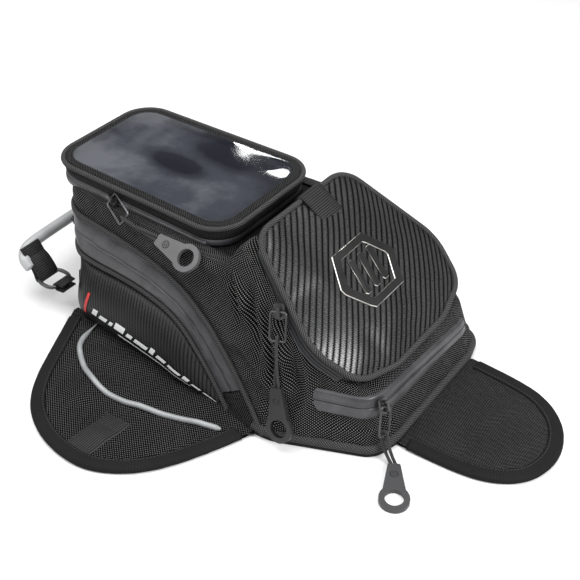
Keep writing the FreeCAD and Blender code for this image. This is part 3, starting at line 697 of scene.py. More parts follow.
# ---------------------------------------------------------------- seams in the side view
UPPER_SEAM = [(q, 109.0) for q in (0, 8, 16, 24, 29)] + [(q_at(x, z), z) for x, z in (
    (-205, 106), (-175, 104), (-145, 103), (-96, 100), (-48, 91), (-7, 71), (29, 46), (60, 20), (77, 3))]
LOWER_SEAM = [(q, 74.0) for q in (0, 8, 16, 24)] + [(29, 71.0)] + [(q_at(x, z), z) for x, z in (
    (-190, 66), (-164, 64), (-114, 67), (-70, 64), (-40, 56), (-14, 40), (13, 21), (34, 3))]
upper_line = smooth(UPPER_SEAM, 240)
lower_line = smooth(LOWER_SEAM, 240)
POCKET_BACK, POCKET_FRONT = np.array([24.0, 0, 161.0]), np.array([157.0, 0, 66.0])
SLOPE = norm(POCKET_FRONT - POCKET_BACK)
STAND = np.array([-SLOPE[2], 0.0, SLOPE[0]])
RIM_Z = 128.0


def on_slope(u, y, n):
    u, y, n = np.broadcast_arrays(np.asarray(u, float), np.asarray(y, float), np.asarray(n, float))
    return POCKET_BACK + u[..., None] * SLOPE + n[..., None] * STAND + np.stack([0 * y, y, 0 * y], -1)


def top_z(x):
    """Height of the body fabric's upper edge in the side view."""
    pod = max(151.0 - (x - 15.3) * 0.714, 55.0)
    share = min(1.0, max(0.0, (x + 4.0) / 22.0))
    share = share * share * (3 - 2 * share)
    return RIM_Z * (1 - share) + pod * share


# ---------------------------------------------------------------- body shell
def crease(x, z, line, deep, wide):
    """Relief of one pressed fold along a line in the side view, with a soft ridge beside it."""
    line = np.asarray(line, float)
    best = np.full(x.shape, 1e9)
    sign = np.ones(x.shape)
    fade = np.ones(x.shape)
    for i, (a, b) in enumerate(zip(line[:-1], line[1:])):
        d = b - a
        t = np.clip(((x - a[0]) * d[0] + (z - a[1]) * d[1]) / (d @ d), 0, 1)
        px, pz = x - a[0] - t * d[0], z - a[1] - t * d[1]
        dist = np.hypot(px, pz)
        near = dist < best
        best = np.where(near, dist, best)
        sign = np.where(near, np.sign(d[0] * pz - d[1] * px), sign)
        share = (i + t) / (len(line) - 1)
        fade = np.where(near, np.sin(math.pi * np.clip(share * 0.86 + 0.1, 0, 1)), fade)
    valley = -deep * np.exp(-(best / wide) ** 2)
    ridge = 0.7 * deep * np.exp(-((best - 2.0 * wide) / (1.3 * wide)) ** 2) * (sign > 0)
    return (valley + ridge) * fade


FOLD_END_Q = 142    # the folds stop short of the front wall
FOLDS = [  # (line in the side view, depth, width)
    ([(2, 126), (14, 118), (24, 100), (30, 84)], 8.0, 3.6),
    ([(34, 124), (40, 104), (52, 84), (60, 62)], 7.0, 4.0),
    ([(56, 112), (62, 92), (74, 70), (78, 46)], 8.0, 4.5),
    ([(84, 94), (90, 76), (98, 54), (98, 34)], 6.0, 4.5),
    ([(112, 76), (116, 58), (126, 38), (130, 18)], 4.5, 5.0),
    ([(30, 60), (52, 52), (76, 30)], 3.5, 5.0),
    ([(-30, 118), (-8, 110), (6, 96)], 2.2, 4.5),
    ([(-150, 120), (-110, 116), (-70, 119)], 1.6, 4.5),
]


def build_shell():
    half = np.unique(np.r_[np.linspace(0, 24, 13), np.linspace(24, 34, 8), np.linspace(34, 104, 78),
                           np.linspace(104, 114, 12), np.linspace(114, LAST, 34)])
    columns = np.r_[half, -half[-2:0:-1]]
    rows = 40
    points, uv, pins = [], [], []
    around = np.interp(np.abs(columns), np.arange(LAST + 1), ROUND)
    around = np.where(columns < 0, 2 * ROUND[-1] - around, around)
    around = np.r_[around, 2 * ROUND[-1]]
    base_x = wall(columns, 60.0)[:, 0]
    tops = []
    for c, bx in zip(columns, base_x):
        x = bx
        for _ in range(6):
            z = top_z(x)
            x = float(wall(c, z)[0])
        tops.append(top_z(x))
    tops = np.array(tops)
    up_z = np.interp(np.abs(columns), upper_line[:, 0], upper_line[:, 1], right=-50)
    for i in range(rows + 1):
        z = 3.0 + (tops - 3.0) * i / rows
        flat = wall(columns, z)
        x, y = flat[:, 0], flat[:, 1]
        free = np.clip((z - up_z - 4) / 8, 0, 1) * np.clip((tops - z) / 8, 0, 1) * np.clip((z - 4) / 10, 0, 1)
        off = free * (2.6 + 1.3 * ripple(x * 1.4, z * 1.7, 3, 52) + 0.8 * ripple(x, z, 11, 24))
        for line, deep, wide in FOLDS:
            off = off + crease(x, z, line, deep, wide) * np.clip(free * 1.5, 0, 1) * (np.abs(columns) < FOLD_END_Q)
        strip = (x > 116) & (z > 24) & (z < 66)
        off = np.where(strip, np.minimum(off, 0.2), off)
        points.append(wall(columns, z, off))
        uv.append(np.stack([around, np.r_[z, z[0]]], -1))
        seam = (z < up_z + 5) | (np.abs(z - up_z) < 5) | (i == 0)
        pins.append(np.where(seam | strip, 1.0, 0.02))
    for angle, inward in ((35, 0.0), (65, 0.0), (90, 0.0), (90, 9.0)):
        a = math.radians(angle)
        radius = np.where(wall(columns, tops)[:, 0] > 8, 8.0, 4.0)
        extra = inward * np.where(wall(columns, tops)[:, 0] > 8, 1.3, 1.0)
        z = tops + radius * math.sin(a) - (tops > 0) * radius * 0.4
        points.append(wall(columns, z, -radius * (1 - math.cos(a)) - extra))
        uv.append(np.stack([around, np.r_[z, z[0]] + 4 * a + inward], -1))
        pins.append(np.ones(len(columns)))
    obj = grid("body_shell", np.array(points), np.array(uv), "ballistic", close=True)
    settle(obj, np.concatenate(pins), 1.2, 0.018, 4.5)
    thicken(obj, 2.5, "lining")
    subdivide(obj)
    put(obj, "bag", "main_wall", "pod_wall", slot="ballistic")


# ---------------------------------------------------------------- side details
def seam_piping(name, line, node, radius):
    """Covered piping round the back and down both sides."""
    q = np.r_[-line[::-1, 0], line[1:, 0]]
    z = np.r_[line[::-1, 1], line[1:, 1]]
    q = np.where((q < 0) & (q > -1e-6), 0.0, q)
    path = wall(q, z, radius * 0.75)
    across = norm(outward(q))
    t = tangents(path)
    up = norm(np.cross(t, across))
    across = np.cross(up, t)
    a = np.linspace(0, 2 * math.pi, 10, endpoint=False)
    profile = np.stack([np.cos(a), np.sin(a)], 1) * radius
    profile[:, 1] *= 1.08
    obj = sweep(name, path, across, up, profile, "piping")
    put(obj, "bag", node, slot="piping")
    return obj


def cut_line(line, start_q, end_q, count):
    part = line[(line[:, 0] >= start_q) & (line[:, 0] <= end_q)]
    return resample(part, count)


def between(low, high, shares, offs):
    """Rows of points across the band between two lines; shares and offs say where each row is and how far it
    stands off."""
    points = []
    for share, off in zip(shares, offs):
        qz = low * (1 - share) + high * share
        points.append(wall(qz[:, 0], qz[:, 1], off))
    return np.array(points)


def inset_band(low, high, mm):
    """The two lines moved towards each other by mm."""
    gap = np.linalg.norm(wall(high[:, 0], high[:, 1]) - wall(low[:, 0], low[:, 1]), axis=1)[:, None]
    share = np.clip(mm / np.maximum(gap, 1e-6), 0, 0.45)
    return low + (high - low) * share, high + (low - high) * share


def band_uv(points, middle):
    """Length along the band, and height from its row number middle."""
    run = np.r_[0, np.cumsum(np.linalg.norm(np.diff(points[middle], axis=0), axis=1))]
    lift = np.zeros(points.shape[:2])
    for i in range(1, len(points)):
        lift[i] = lift[i - 1] + np.linalg.norm(points[i] - points[i - 1], axis=1)
    lift -= lift[middle]
    return np.stack([np.broadcast_to(run, lift.shape), lift], -1)


def build_side_tape():
    start = 9.0
    end_low, end_high = q_at(20, 16), q_at(46, 33)
    low, high = cut_line(lower_line, start, end_low, 110), cut_line(upper_line, start, end_high, 110)
    low, high = inset_band(low, high, 2.9)
    shares = np.array([0.0, 0.03, 0.10, 0.22, 0.34, 0.44, 0.475, 0.495, 0.505, 0.525, 0.56, 0.66, 0.78, 0.90, 0.97, 1.0])
    base = np.array([0.2, 1.4, 2.0, 2.5, 2.6, 2.3, 1.9, 0.4, 0.4, 2.1, 2.7, 2.7, 2.5, 1.9, 1.3, 0.2])
    along = np.linspace(0, 900, 110)
    offs = [b + 0.5 + (0.35 * ripple(along, s * 60, 21, 60) + 0.12 * ripple(along, s * 30, 5, 22)) * (0.15 < b / 2.7)
            * min(1.0, 6 * min(s, 1 - s)) for s, b in zip(shares, base)]
    points = between(low, high, shares, offs)
    left = subdivide(grid("side_tape_left", points, band_uv(points, 7), "tape"))
    right = mirrored(left, "side_tape_right")
    put(left, "bag", "side_zip_tape_left", slot="coated_tape")
    put(right, "bag", "side_zip_tape_right", slot="coated_tape")
    rows = []
    for share in (0.06, 0.40, 0.62, 0.94):
        qz = low * (1 - share) + high * share
        rows.append(dashes("row", wall(qz[:, 0], qz[:, 1], 2.2), outward(qz[:, 0]), "thread", 2.6, 1.8, 0.22))
    rows = joined("side_tape_stitches_left", *rows)
    put(mirrored(rows, "side_tape_stitches_right"), "bag")
    put(rows, "bag")
    # the patch in front of the tape
    low2 = cut_line(lower_line, end_low, q_at(36, 4), 16)
    high2 = cut_line(upper_line, end_high, q_at(73, 8), 16)
    low2, high2 = inset_band(low2, high2, 3.2)
    shares = np.linspace(0, 1, 9)
    offs = [0.3 + 2.6 * math.sin(math.pi * min(1, max(0, s))) ** 0.4 + 0 * low2[:, 0] for s in shares]
    points = between(low2, high2, shares, offs)
    points[:, 0] += norm(outward(low2[:1, 0])) * 0.4
    left = subdivide(grid("patch_left", points, band_uv(points, 4), "ballistic_fine"))
    edge = low2[1] * 0.9 + high2[1] * 0.1, low2[1] * 0.1 + high2[1] * 0.9
    line = np.linspace(edge[0], edge[1], 12)
    seam = dashes("seam", wall(line[:, 0], line[:, 1], 3.1), outward(line[:, 0]), "thread", 2.4, 1.7, 0.3)
    patch = joined("patches", left, seam)
    far = mirrored(patch, "patch_right")
    both = joined("side_patch_pair", patch, far)
    put(both, "bag", "side_patches", slot="ballistic")


POCKET_LOW = 4.5


def pocket_place(x, share, off):
    """A place on the left side pocket: x along it, share up it, off above its bulging face."""
    x, share, off = np.broadcast_arrays(np.asarray(x, float), np.asarray(share, float), np.asarray(off, float))
    seam_x = wall(lower_line[:, 0], lower_line[:, 1])[:, 0]
    keep = seam_x > -199
    top = np.interp(x, seam_x[keep], lower_line[keep, 1]) - 4.4
    z = POCKET_LOW + (top - POCKET_LOW) * share
    tall = top - POCKET_LOW
    rear = np.clip((x + 186) / 26, 0, 1)
    swell = np.minimum(12.5, 0.30 * tall) * (rear * (2 - rear))
    body = np.sin(math.pi * np.clip(share, 0, 1) ** 0.85) ** 0.62
    q = np.array([q_at(a, b) for a, b in zip(x.ravel(), z.ravel())]).reshape(x.shape)
    relief = 0.5 * ripple(x, z * 1.5, 31, 70) * body
    return wall(q, z, 1.2 + swell * body + relief + off)


def build_side_pocket():
    xs = np.r_[np.linspace(-186, -150, 14), np.linspace(-147, 22, 58)]
    shares = np.r_[0.0, 0.015, 0.05, np.linspace(0.1, 0.9, 15), 0.95, 0.985, 1.0]
    X, S = np.meshgrid(xs, shares)
    off = np.where((S < 0.01) | (S > 0.99), -1.2, 0.0)
    points = pocket_place(X, S, off)
    uv = np.stack([X, band_uv(points, 0)[..., 1]], -1)
    left = subdivide(grid("side_pocket_shell_left", points, uv, "side_weave"))
    right = mirrored(left, "side_pocket_shell_right")
    put(left, "bag", "side_pocket_left", slot="side_weave")
    put(right, "bag", "side_pocket_right", slot="side_weave")
    build_print()


def build_print():
    """Generic printed strip along the side pocket's lower edge: slanting dashes of several lengths."""
    blocks, x = [], -150.0
    for k, size in enumerate((7, 11, 5, 14, 8, 18, 6, 12, 16, 7, 10, 15)):
        blocks.append((x, x + size, 0.31, 0.39 if k % 3 else 0.44))
        x += size + 3.6
    whites = []
    for x0, x1, low, high in blocks:
        a, b = np.linspace(0, 1, 6), np.linspace(0, 1, 4)
        A, B = np.meshgrid(a, b)
        points = pocket_place(x0 + (x1 - x0) * A + 3.0 * B, low + (high - low) * B, 0.45)
        whites.append(grid("dash", points, np.stack([A, B], -1), "white_print"))
    A, B = np.meshgrid(np.linspace(0, 1, 4), np.linspace(0, 1, 10))
    points = pocket_place(-163 + 3.5 * A + 5.0 * B, 0.24 + 0.42 * B, 0.45)
    accent = grid("accent", points, np.stack([A, B], -1), "red_print")
    A, B = np.meshgrid(np.linspace(0, 1, 30), np.linspace(0, 1, 3))
    points = pocket_place(-110 + 100 * A, 0.21 + 0.028 * B, 0.45)
    rule = grid("rule", points, np.stack([A, B], -1), "white_print")
    marks = joined("side_print_left", accent, rule, *whites)
    put(mirrored(marks, "side_print_right"), "bag")
    put(marks, "bag")


# ---------------------------------------------------------------- front zip and hem
def front_band(ys, low, high, shares, offs):
    rows = []
    for share, off in zip(shares, offs):
        z = low * (1 - share) + high * share
        q = np.array([front_q(y, h) for y, h in zip(ys, z)])
        rows.append(wall(q, z, off))
    return np.array(rows)


def build_front():
    ys = np.r_[np.linspace(-104, -70, 20), np.linspace(-67, 72, 48)]
    at = (ys + 104) / 176
    low, high = 37 - 6 * at, 58 - 13 * at
    shares = np.array([0.0, 0.03, 0.10, 0.30, 0.44, 0.475, 0.495, 0.505, 0.525, 0.56, 0.72, 0.90, 0.97, 1.0])
    base = np.array([0.2, 2.2, 2.9, 3.1, 3.0, 2.6, 1.2, 1.2, 2.7, 3.2, 3.3, 2.9, 2.2, 0.2])
    offs = [b + 0.2 * ripple(ys, s * 30 + 0 * ys, 8, 30) * (b > 1) for s, b in zip(shares, base)]
    points = front_band(ys, low, high, shares, offs)
    tape = subdivide(grid("front_tape", points, band_uv(points, 6), "tape"))
    put(tape, "bag", "front_zip_tape", slot="coated_tape")
    rows = []
    for share in (0.07, 0.93):
        line = front_band(ys, low, high, [share], [3.0])[0]
        rows.append(dashes("row", line, np.tile([0.9, 0, 0.35], (len(line), 1)), "thread", 2.6, 1.8, 0.25))
    put(joined("front_tape_stitches", *rows), "bag")
    # hem piping along the front of the base
    q = np.r_[np.linspace(104, LAST, 60), -np.linspace(LAST, 104, 60)[1:]]
    path = wall(q, 6.5, 1.2)
    hem = tube("front_hem", path, 4.2, "piping", sides=12)
    put(hem, "bag", "front_piping", slot="piping")
    # base edge binding, all round
    q = np.r_[np.linspace(0, LAST, 150), -np.linspace(LAST, 0, 150)[1:-1]]
    path = wall(q, 2.6, -0.4)
    t = tangents(path, True)
    up = np.tile([0.0, 0, 1], (len(path), 1))
    profile = [(1.6, -2.4), (1.9, 0.0), (1.4, 2.6), (-2.5, 2.2), (-2.5, -2.4)]
    edge = sweep("base_edge", path, norm(np.cross(t, up)), up, profile, "binding", closed=True)
    loop = wall(q, 1.0, -1.0)[:, :2]
    under, _ = panel("base_underside", loop, lambda a, b, h: np.stack([a, b, h], -1),
                  lambda a, b, r: 0.6 + 0.25 * ripple(a, b, 40, 90), "lining")
    thicken(under, 2.0)
    under.modifiers["Thickness"].offset = 1.0
    put(joined("base_cover", under, edge), "bag", "base_panel", slot="ballistic")


# ---------------------------------------------------------------- inner panels
def closed_half(points, steps):
    """Loop that is the same on both sides from a half outline of (along, half width, radius)."""
    first, last = points[0], points[-1]
    half = [(first[0], 0.0, 0.0)] + [(a, -w, r) for a, w, r in points] + [(last[0], 0.0, 0.0)]
    left = rounded(half, steps)
    return np.vstack([left, (left * [1, -1])[-2:0:-1]])


def build_inside():
    # rim round the main compartment's mouth
    outer = closed_half([(-219, 66, 28), (14, 72, 8)], [12, 60, 12])
    inner = closed_half([(-216, 50, 24), (-25, 55, 24)], [12, 60, 12])
    rows = []
    for share, h in ((0.0, -2.5), (0.06, -1.2), (0.3, -0.6), (0.6, -0.8), (0.92, -0.6), (1.0, -2.2), (0.98, -4.0)):
        ab = outer * (1 - share) + inner * share
        rows.append(np.column_stack([ab, np.full(len(ab), RIM_Z + h)]))
    points = np.array(rows)
    uv = np.concatenate([points[:, :, :2], points[:, :1, :2]], 1)
    rim = subdivide(grid("rim_band", points, uv, "ballistic_fine", close=True))
    put(rim, "bag", "rim_panel", slot="ballistic")
    # divider between main compartment and pod
    zs = np.linspace(5.0, 152.0, 26)
    across = np.linspace(-1, 1, 30)
    rows = []
    for z in zs:
        width = -float(wall(q_at(18, z), z)[1]) - 3.0
        bulge = 1.3 * np.cos(across * math.pi / 2) * math.sin(math.pi * (z - 5) / 147)
        rows.append(np.column_stack([16.0 - bulge, across * width, np.full(30, z)]))
    points = np.array(rows)
    divider = grid("divider", points, points[..., 1:], "lining")
    thicken(divider, 3.0)
    put(divider, "bag", "divider_panel", slot="ballistic")
    # pocket floor
    loop = closed_half([(22, 72, 12), (90, 88, 40), (152, 78, 18)], [12, 20, 20, 12])
    floor, _ = panel("pocket_base", loop, lambda a, b, h: np.stack([a, b, 125.6 - (a - 24) * 0.485 + h], -1),
                  lambda a, b, r: 0.5 * ripple(a, b, 17, 50), "lining")
    thicken(floor, 1.5)
    put(floor, "bag", "pocket_floor", slot="ballistic")


# ---------------------------------------------------------------- map lid
LID_TOP = 150.0


def lid_loop(inset=0.0, steps=(14, 60, 14)):
    half = [(-233 + inset, 67 - inset, max(2.0, 30 - inset)), (-12.5 - inset, 71.5 - inset, max(2.0, 30 - inset))]
    return closed_half(half, list(steps))


def build_lid():
    loop = lid_loop()
    t = tangents(loop, True)
    n = np.stack([t[:, 1], -t[:, 0]], 1)
    run = np.r_[0, np.cumsum(np.linalg.norm(np.diff(np.vstack([loop, loop[:1]]), axis=0), axis=1))]
    rows, uv = [], []
    zs = [128.6, 129.4, 131.0, 133.6, 135.4, 136.0, 136.6, 138.5, 141.0, 143.5, 146.0, 148.0, 149.6]
    outs = [-1.5, -0.4, 0.2, 0.5, 0.2, -0.7, 0.3, 1.0, 1.4, 1.4, 1.0, 0.2, -0.8]
    for z, out in zip(zs, outs):
        wave = 0.5 * ripple(run[:-1], z * 2.0 + 0 * run[:-1], 12, 38) * (136.5 < z < 149)
        rows.append(np.column_stack([loop + n * (out + wave)[:, None], np.full(len(loop), z)]))
        uv.append(np.stack([run, np.full(len(run), z)], -1))
    points = np.array(rows)
    mats = [1 if z < 136 else 0 for z in zs[:-1]]
    gusset = grid("lid_gusset", points, np.array(uv), ["ballistic_fine", "tape"], close=True, row_mats=mats)
    thicken(gusset, 2.0, "lining")
    gusset.modifiers["Thickness"].material_offset = 2
    subdivide(gusset)
    put(gusset, "map_lid", "lid_wall", slot="ballistic")
    # piping round the top edge
    ab = lid_loop(-1.8, (18, 80, 18))
    path = np.column_stack([ab, np.full(len(ab), LID_TOP - 0.4)])
    put(tube("lid_edge_piping", path, 2.5, "piping", closed=True), "map_lid", "lid_piping", slot="piping")
    # zip teeth along the lower edge
    low = lid_loop(-1.0, (18, 90, 18))
    keep = low[:, 0] < -30
    line = np.roll(low, -int(np.argmin(keep)), axis=0)
    line = line[line[:, 0] < -30]
    path = np.column_stack([line, np.full(len(line), 130.6)])
    out = norm(np.column_stack([np.gradient(line[:, 1]), -np.gradient(line[:, 0]), 0 * line[:, 0] + 0.2]))
    teeth = dashes("lid_teeth", path, out, "coil", 1.9, 1.0, 0.62, across=3.8, lift=0.2)
    t3 = tangents(path)
    up = norm(np.cross(out, t3))
    tape = sweep("lid_zip_band", path, out, up, [(0.3, -3.2), (0.5, 0), (0.3, 3.2), (-1.2, 3.2), (-1.2, -3.2)], "tape")
    put(joined("lid_zip", teeth, tape), "map_lid", "lid_zip_coil", slot="zip_coil")
    # binding frame round the window
    outer, inner = lid_loop(0.3), lid_loop(9.5)
    rows = []
    for share, h in ((0.0, -1.0), (0.02, 0.9), (0.2, 1.9), (0.6, 2.0), (0.93, 1.6), (1.0, 0.6)):
        ab = outer * (1 - share) + inner * share
        rows.append(np.column_stack([ab, np.full(len(ab), LID_TOP + h)]))
    points = np.array(rows)
    uv = np.stack([np.broadcast_to(run, (len(points), len(run))),
                   np.broadcast_to(np.array([0, 2, 4, 8, 10, 11.0])[:, None], (len(points), len(run)))], -1)
    binding = subdivide(grid("window_frame", points, uv, "ballistic_fine", close=True))
    path = np.column_stack([lid_loop(8.2), np.full(len(loop), LID_TOP + 1.75)])
    rows = dashes("stitch", path, (0, 0, 1), "thread", 2.8, 1.9, 0.25, closed=True)
    put(binding, "map_lid", "window_binding", slot="ballistic")
    put(rows, "map_lid").name = "window_stitches"
    # map pocket panel and the window over it
    def flat(z):
        return lambda a, b, h: np.stack([a, b, z + h], -1)

    under, _ = panel("map_panel", lid_loop(3.2), flat(143.6), lambda a, b, r: 0.8 * ripple(a, b, 23, 90) * (1 - r ** 4),
                  "map_panel")
    thicken(under, 1.0)
    put(under, "map_lid", "map_pocket_panel", slot="ballistic")

    def wrinkled(a, b, r):
        hold = 1 - np.clip(r, 0, 1) ** 6
        sag = -0.5 * (1 - r ** 2)
        long = 0.04 * np.sin((a * 0.25 + b * 1.05) * 2 * math.pi / 62 + 1.1 * np.sin(a / 31.0) + 0.6)
        star = 0.03 * np.exp(-((a + 30 + 0.55 * (b + 10)) / 22) ** 2) * np.sin(b / 7.0 + 0.02 * a)
        lip = 1.0 * np.exp(-((b + 56 - 0.02 * (a + 95)) / 4.2) ** 2 - ((a + 95) / 48) ** 2)
        return (sag + long + star + lip + 0.06 * ripple(a, b, 61, 80)) * hold

    window, edge = panel("window_sheet", lid_loop(4.0), flat(LID_TOP + 1.6), wrinkled, "window", count=96)
    settle(window, np.where(edge > 0.98, 1.0, 0.05), 0.2, 0.0, 0.08, stiff=20.0, bend=4.0)
    subdivide(window)
    put(window, "map_lid", "map_window", slot="clear_window")


# ---------------------------------------------------------------- front pocket
POCKET_HALF = [(0, 67, 26), (105, 101, 50), (150, 86, 28), (163, 40, 40)]


def pocket_loop(inset=0.0, steps=(12, 30, 16, 8, 12)):
    """The pocket's outline in the slope's plane; moved in along its own normals."""
    loop = closed_half(POCKET_HALF, list(steps))
    loop = resample(loop, 220, True)
    t = tangents(loop, True)
    return loop - np.stack([t[:, 1], -t[:, 0]], 1) * inset


def build_front_pocket():
    loop = pocket_loop()
    t = tangents(loop, True)
    n = np.stack([t[:, 1], -t[:, 0]], 1)
    run = np.r_[0, np.cumsum(np.linalg.norm(np.diff(np.vstack([loop, loop[:1]]), axis=0), axis=1))]
    rows, uv = [], []
    for depth in (-33, -30, -26, -22, -18, -14, -10, -7, -4, -2):
        swell = 0.9 * math.sin(math.pi * (-depth) / 33)
        wave = 0.7 * ripple(run[:-1], depth * 2.0 + 0 * run[:-1], 71, 36) * min(1.0, (-depth - 2) / 8.0)
        ab = loop + n * (swell + wave - 1.2)[:, None]
        p = on_slope(ab[:, 0], ab[:, 1], float(depth))
        low = np.where(p[:, 0] > 120, np.maximum(p[:, 2], 46.0), p[:, 2])
        p[:, 2] = low
        p[:, 0] = np.where(p[:, 0] < 21.0, 21.0, p[:, 0])
        rows.append(p)
        uv.append(np.stack([run, np.full(len(run), float(depth))], -1))
    gusset = grid("pocket_gusset", np.array(rows), np.array(uv), "ballistic", close=True)
    thicken(gusset, 1.5, "lining")
    subdivide(gusset)
    put(gusset, "bag", "pocket_wall", slot="ballistic")
    # zip strip under the lid's piping, with its pale edge
    part = loop[(loop[:, 0] > 10) & (loop[:, 0] < 140)]
    left = part[part[:, 1] < 0]
    left = left[np.argsort(left[:, 0])]
    strips = []
    for side in (1.0, -1.0):
        line = resample(left, 90)
        tt = tangents(line)
        nn = np.stack([tt[:, 1], -tt[:, 0]], 1)
        rows = []
        for off, h in ((0.0, -15.5), (1.1, -15.0), (1.5, -12.0), (1.2, -10.6), (0.1, -10.2), (1.3, -9.8), (1.5, -7.0),
                       (1.0, -5.5), (0.0, -5.2)):
            ab = line + nn * (off + 0.6)
            rows.append(on_slope(ab[:, 0], ab[:, 1] * side, h))
        points = np.array(rows)
        if side < 0:
            points = points[:, ::-1]
        strips.append(grid("strip", points, band_uv(points, 4), "tape_dark"))
        ab = line + nn * 2.1
        edge_path = on_slope(ab[:, 0], ab[:, 1] * side, -14.6)
        strips.append(tube("edge", edge_path, 0.9, "reflective_edge", sides=6))
    strip = joined("pocket_strip", *strips)
    put(strip, "bag", "pocket_zip_tape", slot="coated_tape")

    # the lid: a crowned panel in twill-embossed film
    def crown(u, y, r):
        soft = 1 - np.clip(r, 0, 1) ** 2.2
        dent = -1.6 * np.exp(-(((u - 20) / 20) ** 2 + ((y + 40) / 26) ** 2))
        front = 1.5 * np.exp(-(((u - 138) / 16) ** 2 + ((y + 8) / 60) ** 2))
        return 0.6 + (6.0 + dent + front + 0.5 * ripple(u, y, 81, 70)) * soft

    twill = pocket_loop(-1.2)
    lid, edge = panel("pocket_cover", twill, on_slope, crown, "carbon")
    settle(lid, np.where(edge > 0.97, 1.0, 0.06), 0.6, 0.002, 1.5, stiff=20.0, bend=4.0)
    lid.data.materials.append(M["lining"])
    mod = lid.modifiers.new("Thickness", "SOLIDIFY")
    mod.thickness, mod.offset, mod.material_offset = 2.4 * MM, -1.0, 1
    subdivide(lid)
    put(lid, "pocket_lid", "pocket_lid_panel", slot="carbon_weave")
    ab = pocket_loop(-2.0)
    put(tube("pocket_edge_piping", on_slope(ab[:, 0], ab[:, 1], 0.6), 2.7, "piping", closed=True, hint=STAND),
        "pocket_lid", "pocket_lid_piping", slot="piping")
    ab = pocket_loop(2.6)
    stitches = dashes("pocket_edge_stitches", on_slope(ab[:, 0], ab[:, 1], 1.5), STAND, "thread", 2.8, 1.9, 0.25,
                      closed=True)
    put(stitches, "pocket_lid")
    # webbing tab that comes over the rear edge
    us = np.array([-6.0, -5.6, -3.5, 0.0, 4, 10, 16, 22, 26, 27.5, 27.6])
    hs = np.array([-4.0, 0.5, 3.6, 4.8, 5.0, 5.2, 5.4, 5.6, 5.6, 5.4, 3.4])
    path = on_slope(us, 14.0 + 0 * us, hs)
    across = np.tile([0.0, 1, 0], (len(us), 1))
    up = norm(np.cross(tangents(path), across))
    tab = sweep("webbing_loop", path, across, up, [(-15, -0.8), (15, -0.8), (15, 0.8), (7, 1.1), (-7, 1.1), (-15, 0.8)],
                "webbing")
    put(tab, "pocket_lid", "webbing_tab", slot="webbing")
    build_emblem(crown)


def build_emblem(crown):
    """Generic ornament: a hexagonal ring round three slanting bars, black with bright bevels."""
    def raised(name, outer, inner=None):
        outer = np.asarray(outer, float)
        centre = outer.mean(0)
        loops = []
        if inner is None:
            tops = [(outer, -0.5), (outer, 2.2), (outer + norm(centre - outer) * 0.55, 2.8)]
        else:
            inner = np.asarray(inner, float)
            tops = [(inner, -0.5), (inner, 2.2), (inner + norm(inner - centre) * 0.55, 2.8),
                    (outer + norm(centre - outer) * 0.55, 2.8), (outer, 2.2), (outer, -0.5)]
            tops = tops[::-1]
        for ab, h in tops:
            base = crown(ab[:, 0], ab[:, 1], 0.0)
            loops.append(on_slope(ab[:, 0], ab[:, 1], np.maximum(base, 0) + h))
        count = len(outer)
        verts = np.vstack(loops)
        faces, mats = [], []
        for i in range(len(loops) - 1):
            for j in range(count):
                k = (j + 1) % count
                faces.append((i * count + j, i * count + k, (i + 1) * count + k, (i + 1) * count + j))
                mats.append(int(i in (1, 3)))      # the bevels are bright
        if inner is None:
            faces.append(tuple((len(loops) - 1) * count + j for j in range(count)))
            mats.append(0)
        corners = [(0.0, 0.0)] * sum(len(f) for f in faces)
        return link(name, verts, faces, corners, ["emblem", "silver"], mats, soft=False)

    centre_u, half_y, half_u = 85.0, 43.0, 30.0
    hexagon = [(centre_u - half_u, -half_y * 0.55), (centre_u, -half_y), (centre_u + half_u, -half_y * 0.55),
               (centre_u + half_u, half_y * 0.55), (centre_u, half_y), (centre_u - half_u, half_y * 0.55)]
    outer = resample(np.array(hexagon), 36, True)
    inner = (outer - [centre_u, 0]) * 0.74 + [centre_u, 0]
    parts = [raised("ring", outer, inner)]
    for y in (-14.0, 0.0, 14.0):
        bar = np.array([(centre_u - 17, y + 1), (centre_u + 17, y - 8), (centre_u + 17, y), (centre_u - 17, y + 9)])
        parts.append(raised("bar", resample(bar, 16, True)))
    emblem = joined("emblem_raised", *parts)
    put(emblem, "pocket_lid", "emblem", slot="emblem")


# ---------------------------------------------------------------- flaps
FLAP_EDGE = [(-188, -108), (-170, -146), (-134, -221), (-88, -252), (-34, -259), (1, -244), (27, -219), (48, -182),
             (69, -134)]
FLAP_ROOT = ((-187.0, -104.0), (74.0, -128.0))
FLAP_MAGNETS = [(-112, -214), (-76, -226), (-8, -224)]
TONGUE_EDGE = [(181, 69), (225, 67.5), (260, 62), (288, 42), (302, 14), (304, -14), (293, -42), (268, -60), (236, -67),
               (181, -69)]
TONGUE_MAGNETS = [(212, -32), (212, 32), (262, 0)]
MAGNET_R = 15.0


def flap_height(x, y, magnets, seed, reach, stretch):
    """Top surface of a flap: soft folds, flat over the magnets."""
    calm = np.ones(np.shape(x))
    for mx, my in magnets:
        calm = calm * np.clip((np.hypot(x - mx, y - my) - 12) / 16, 0.15, 1)
    return 4.3 + np.maximum(-0.5, reach * ripple(x * stretch[0], y * stretch[1], seed, 70)) * calm


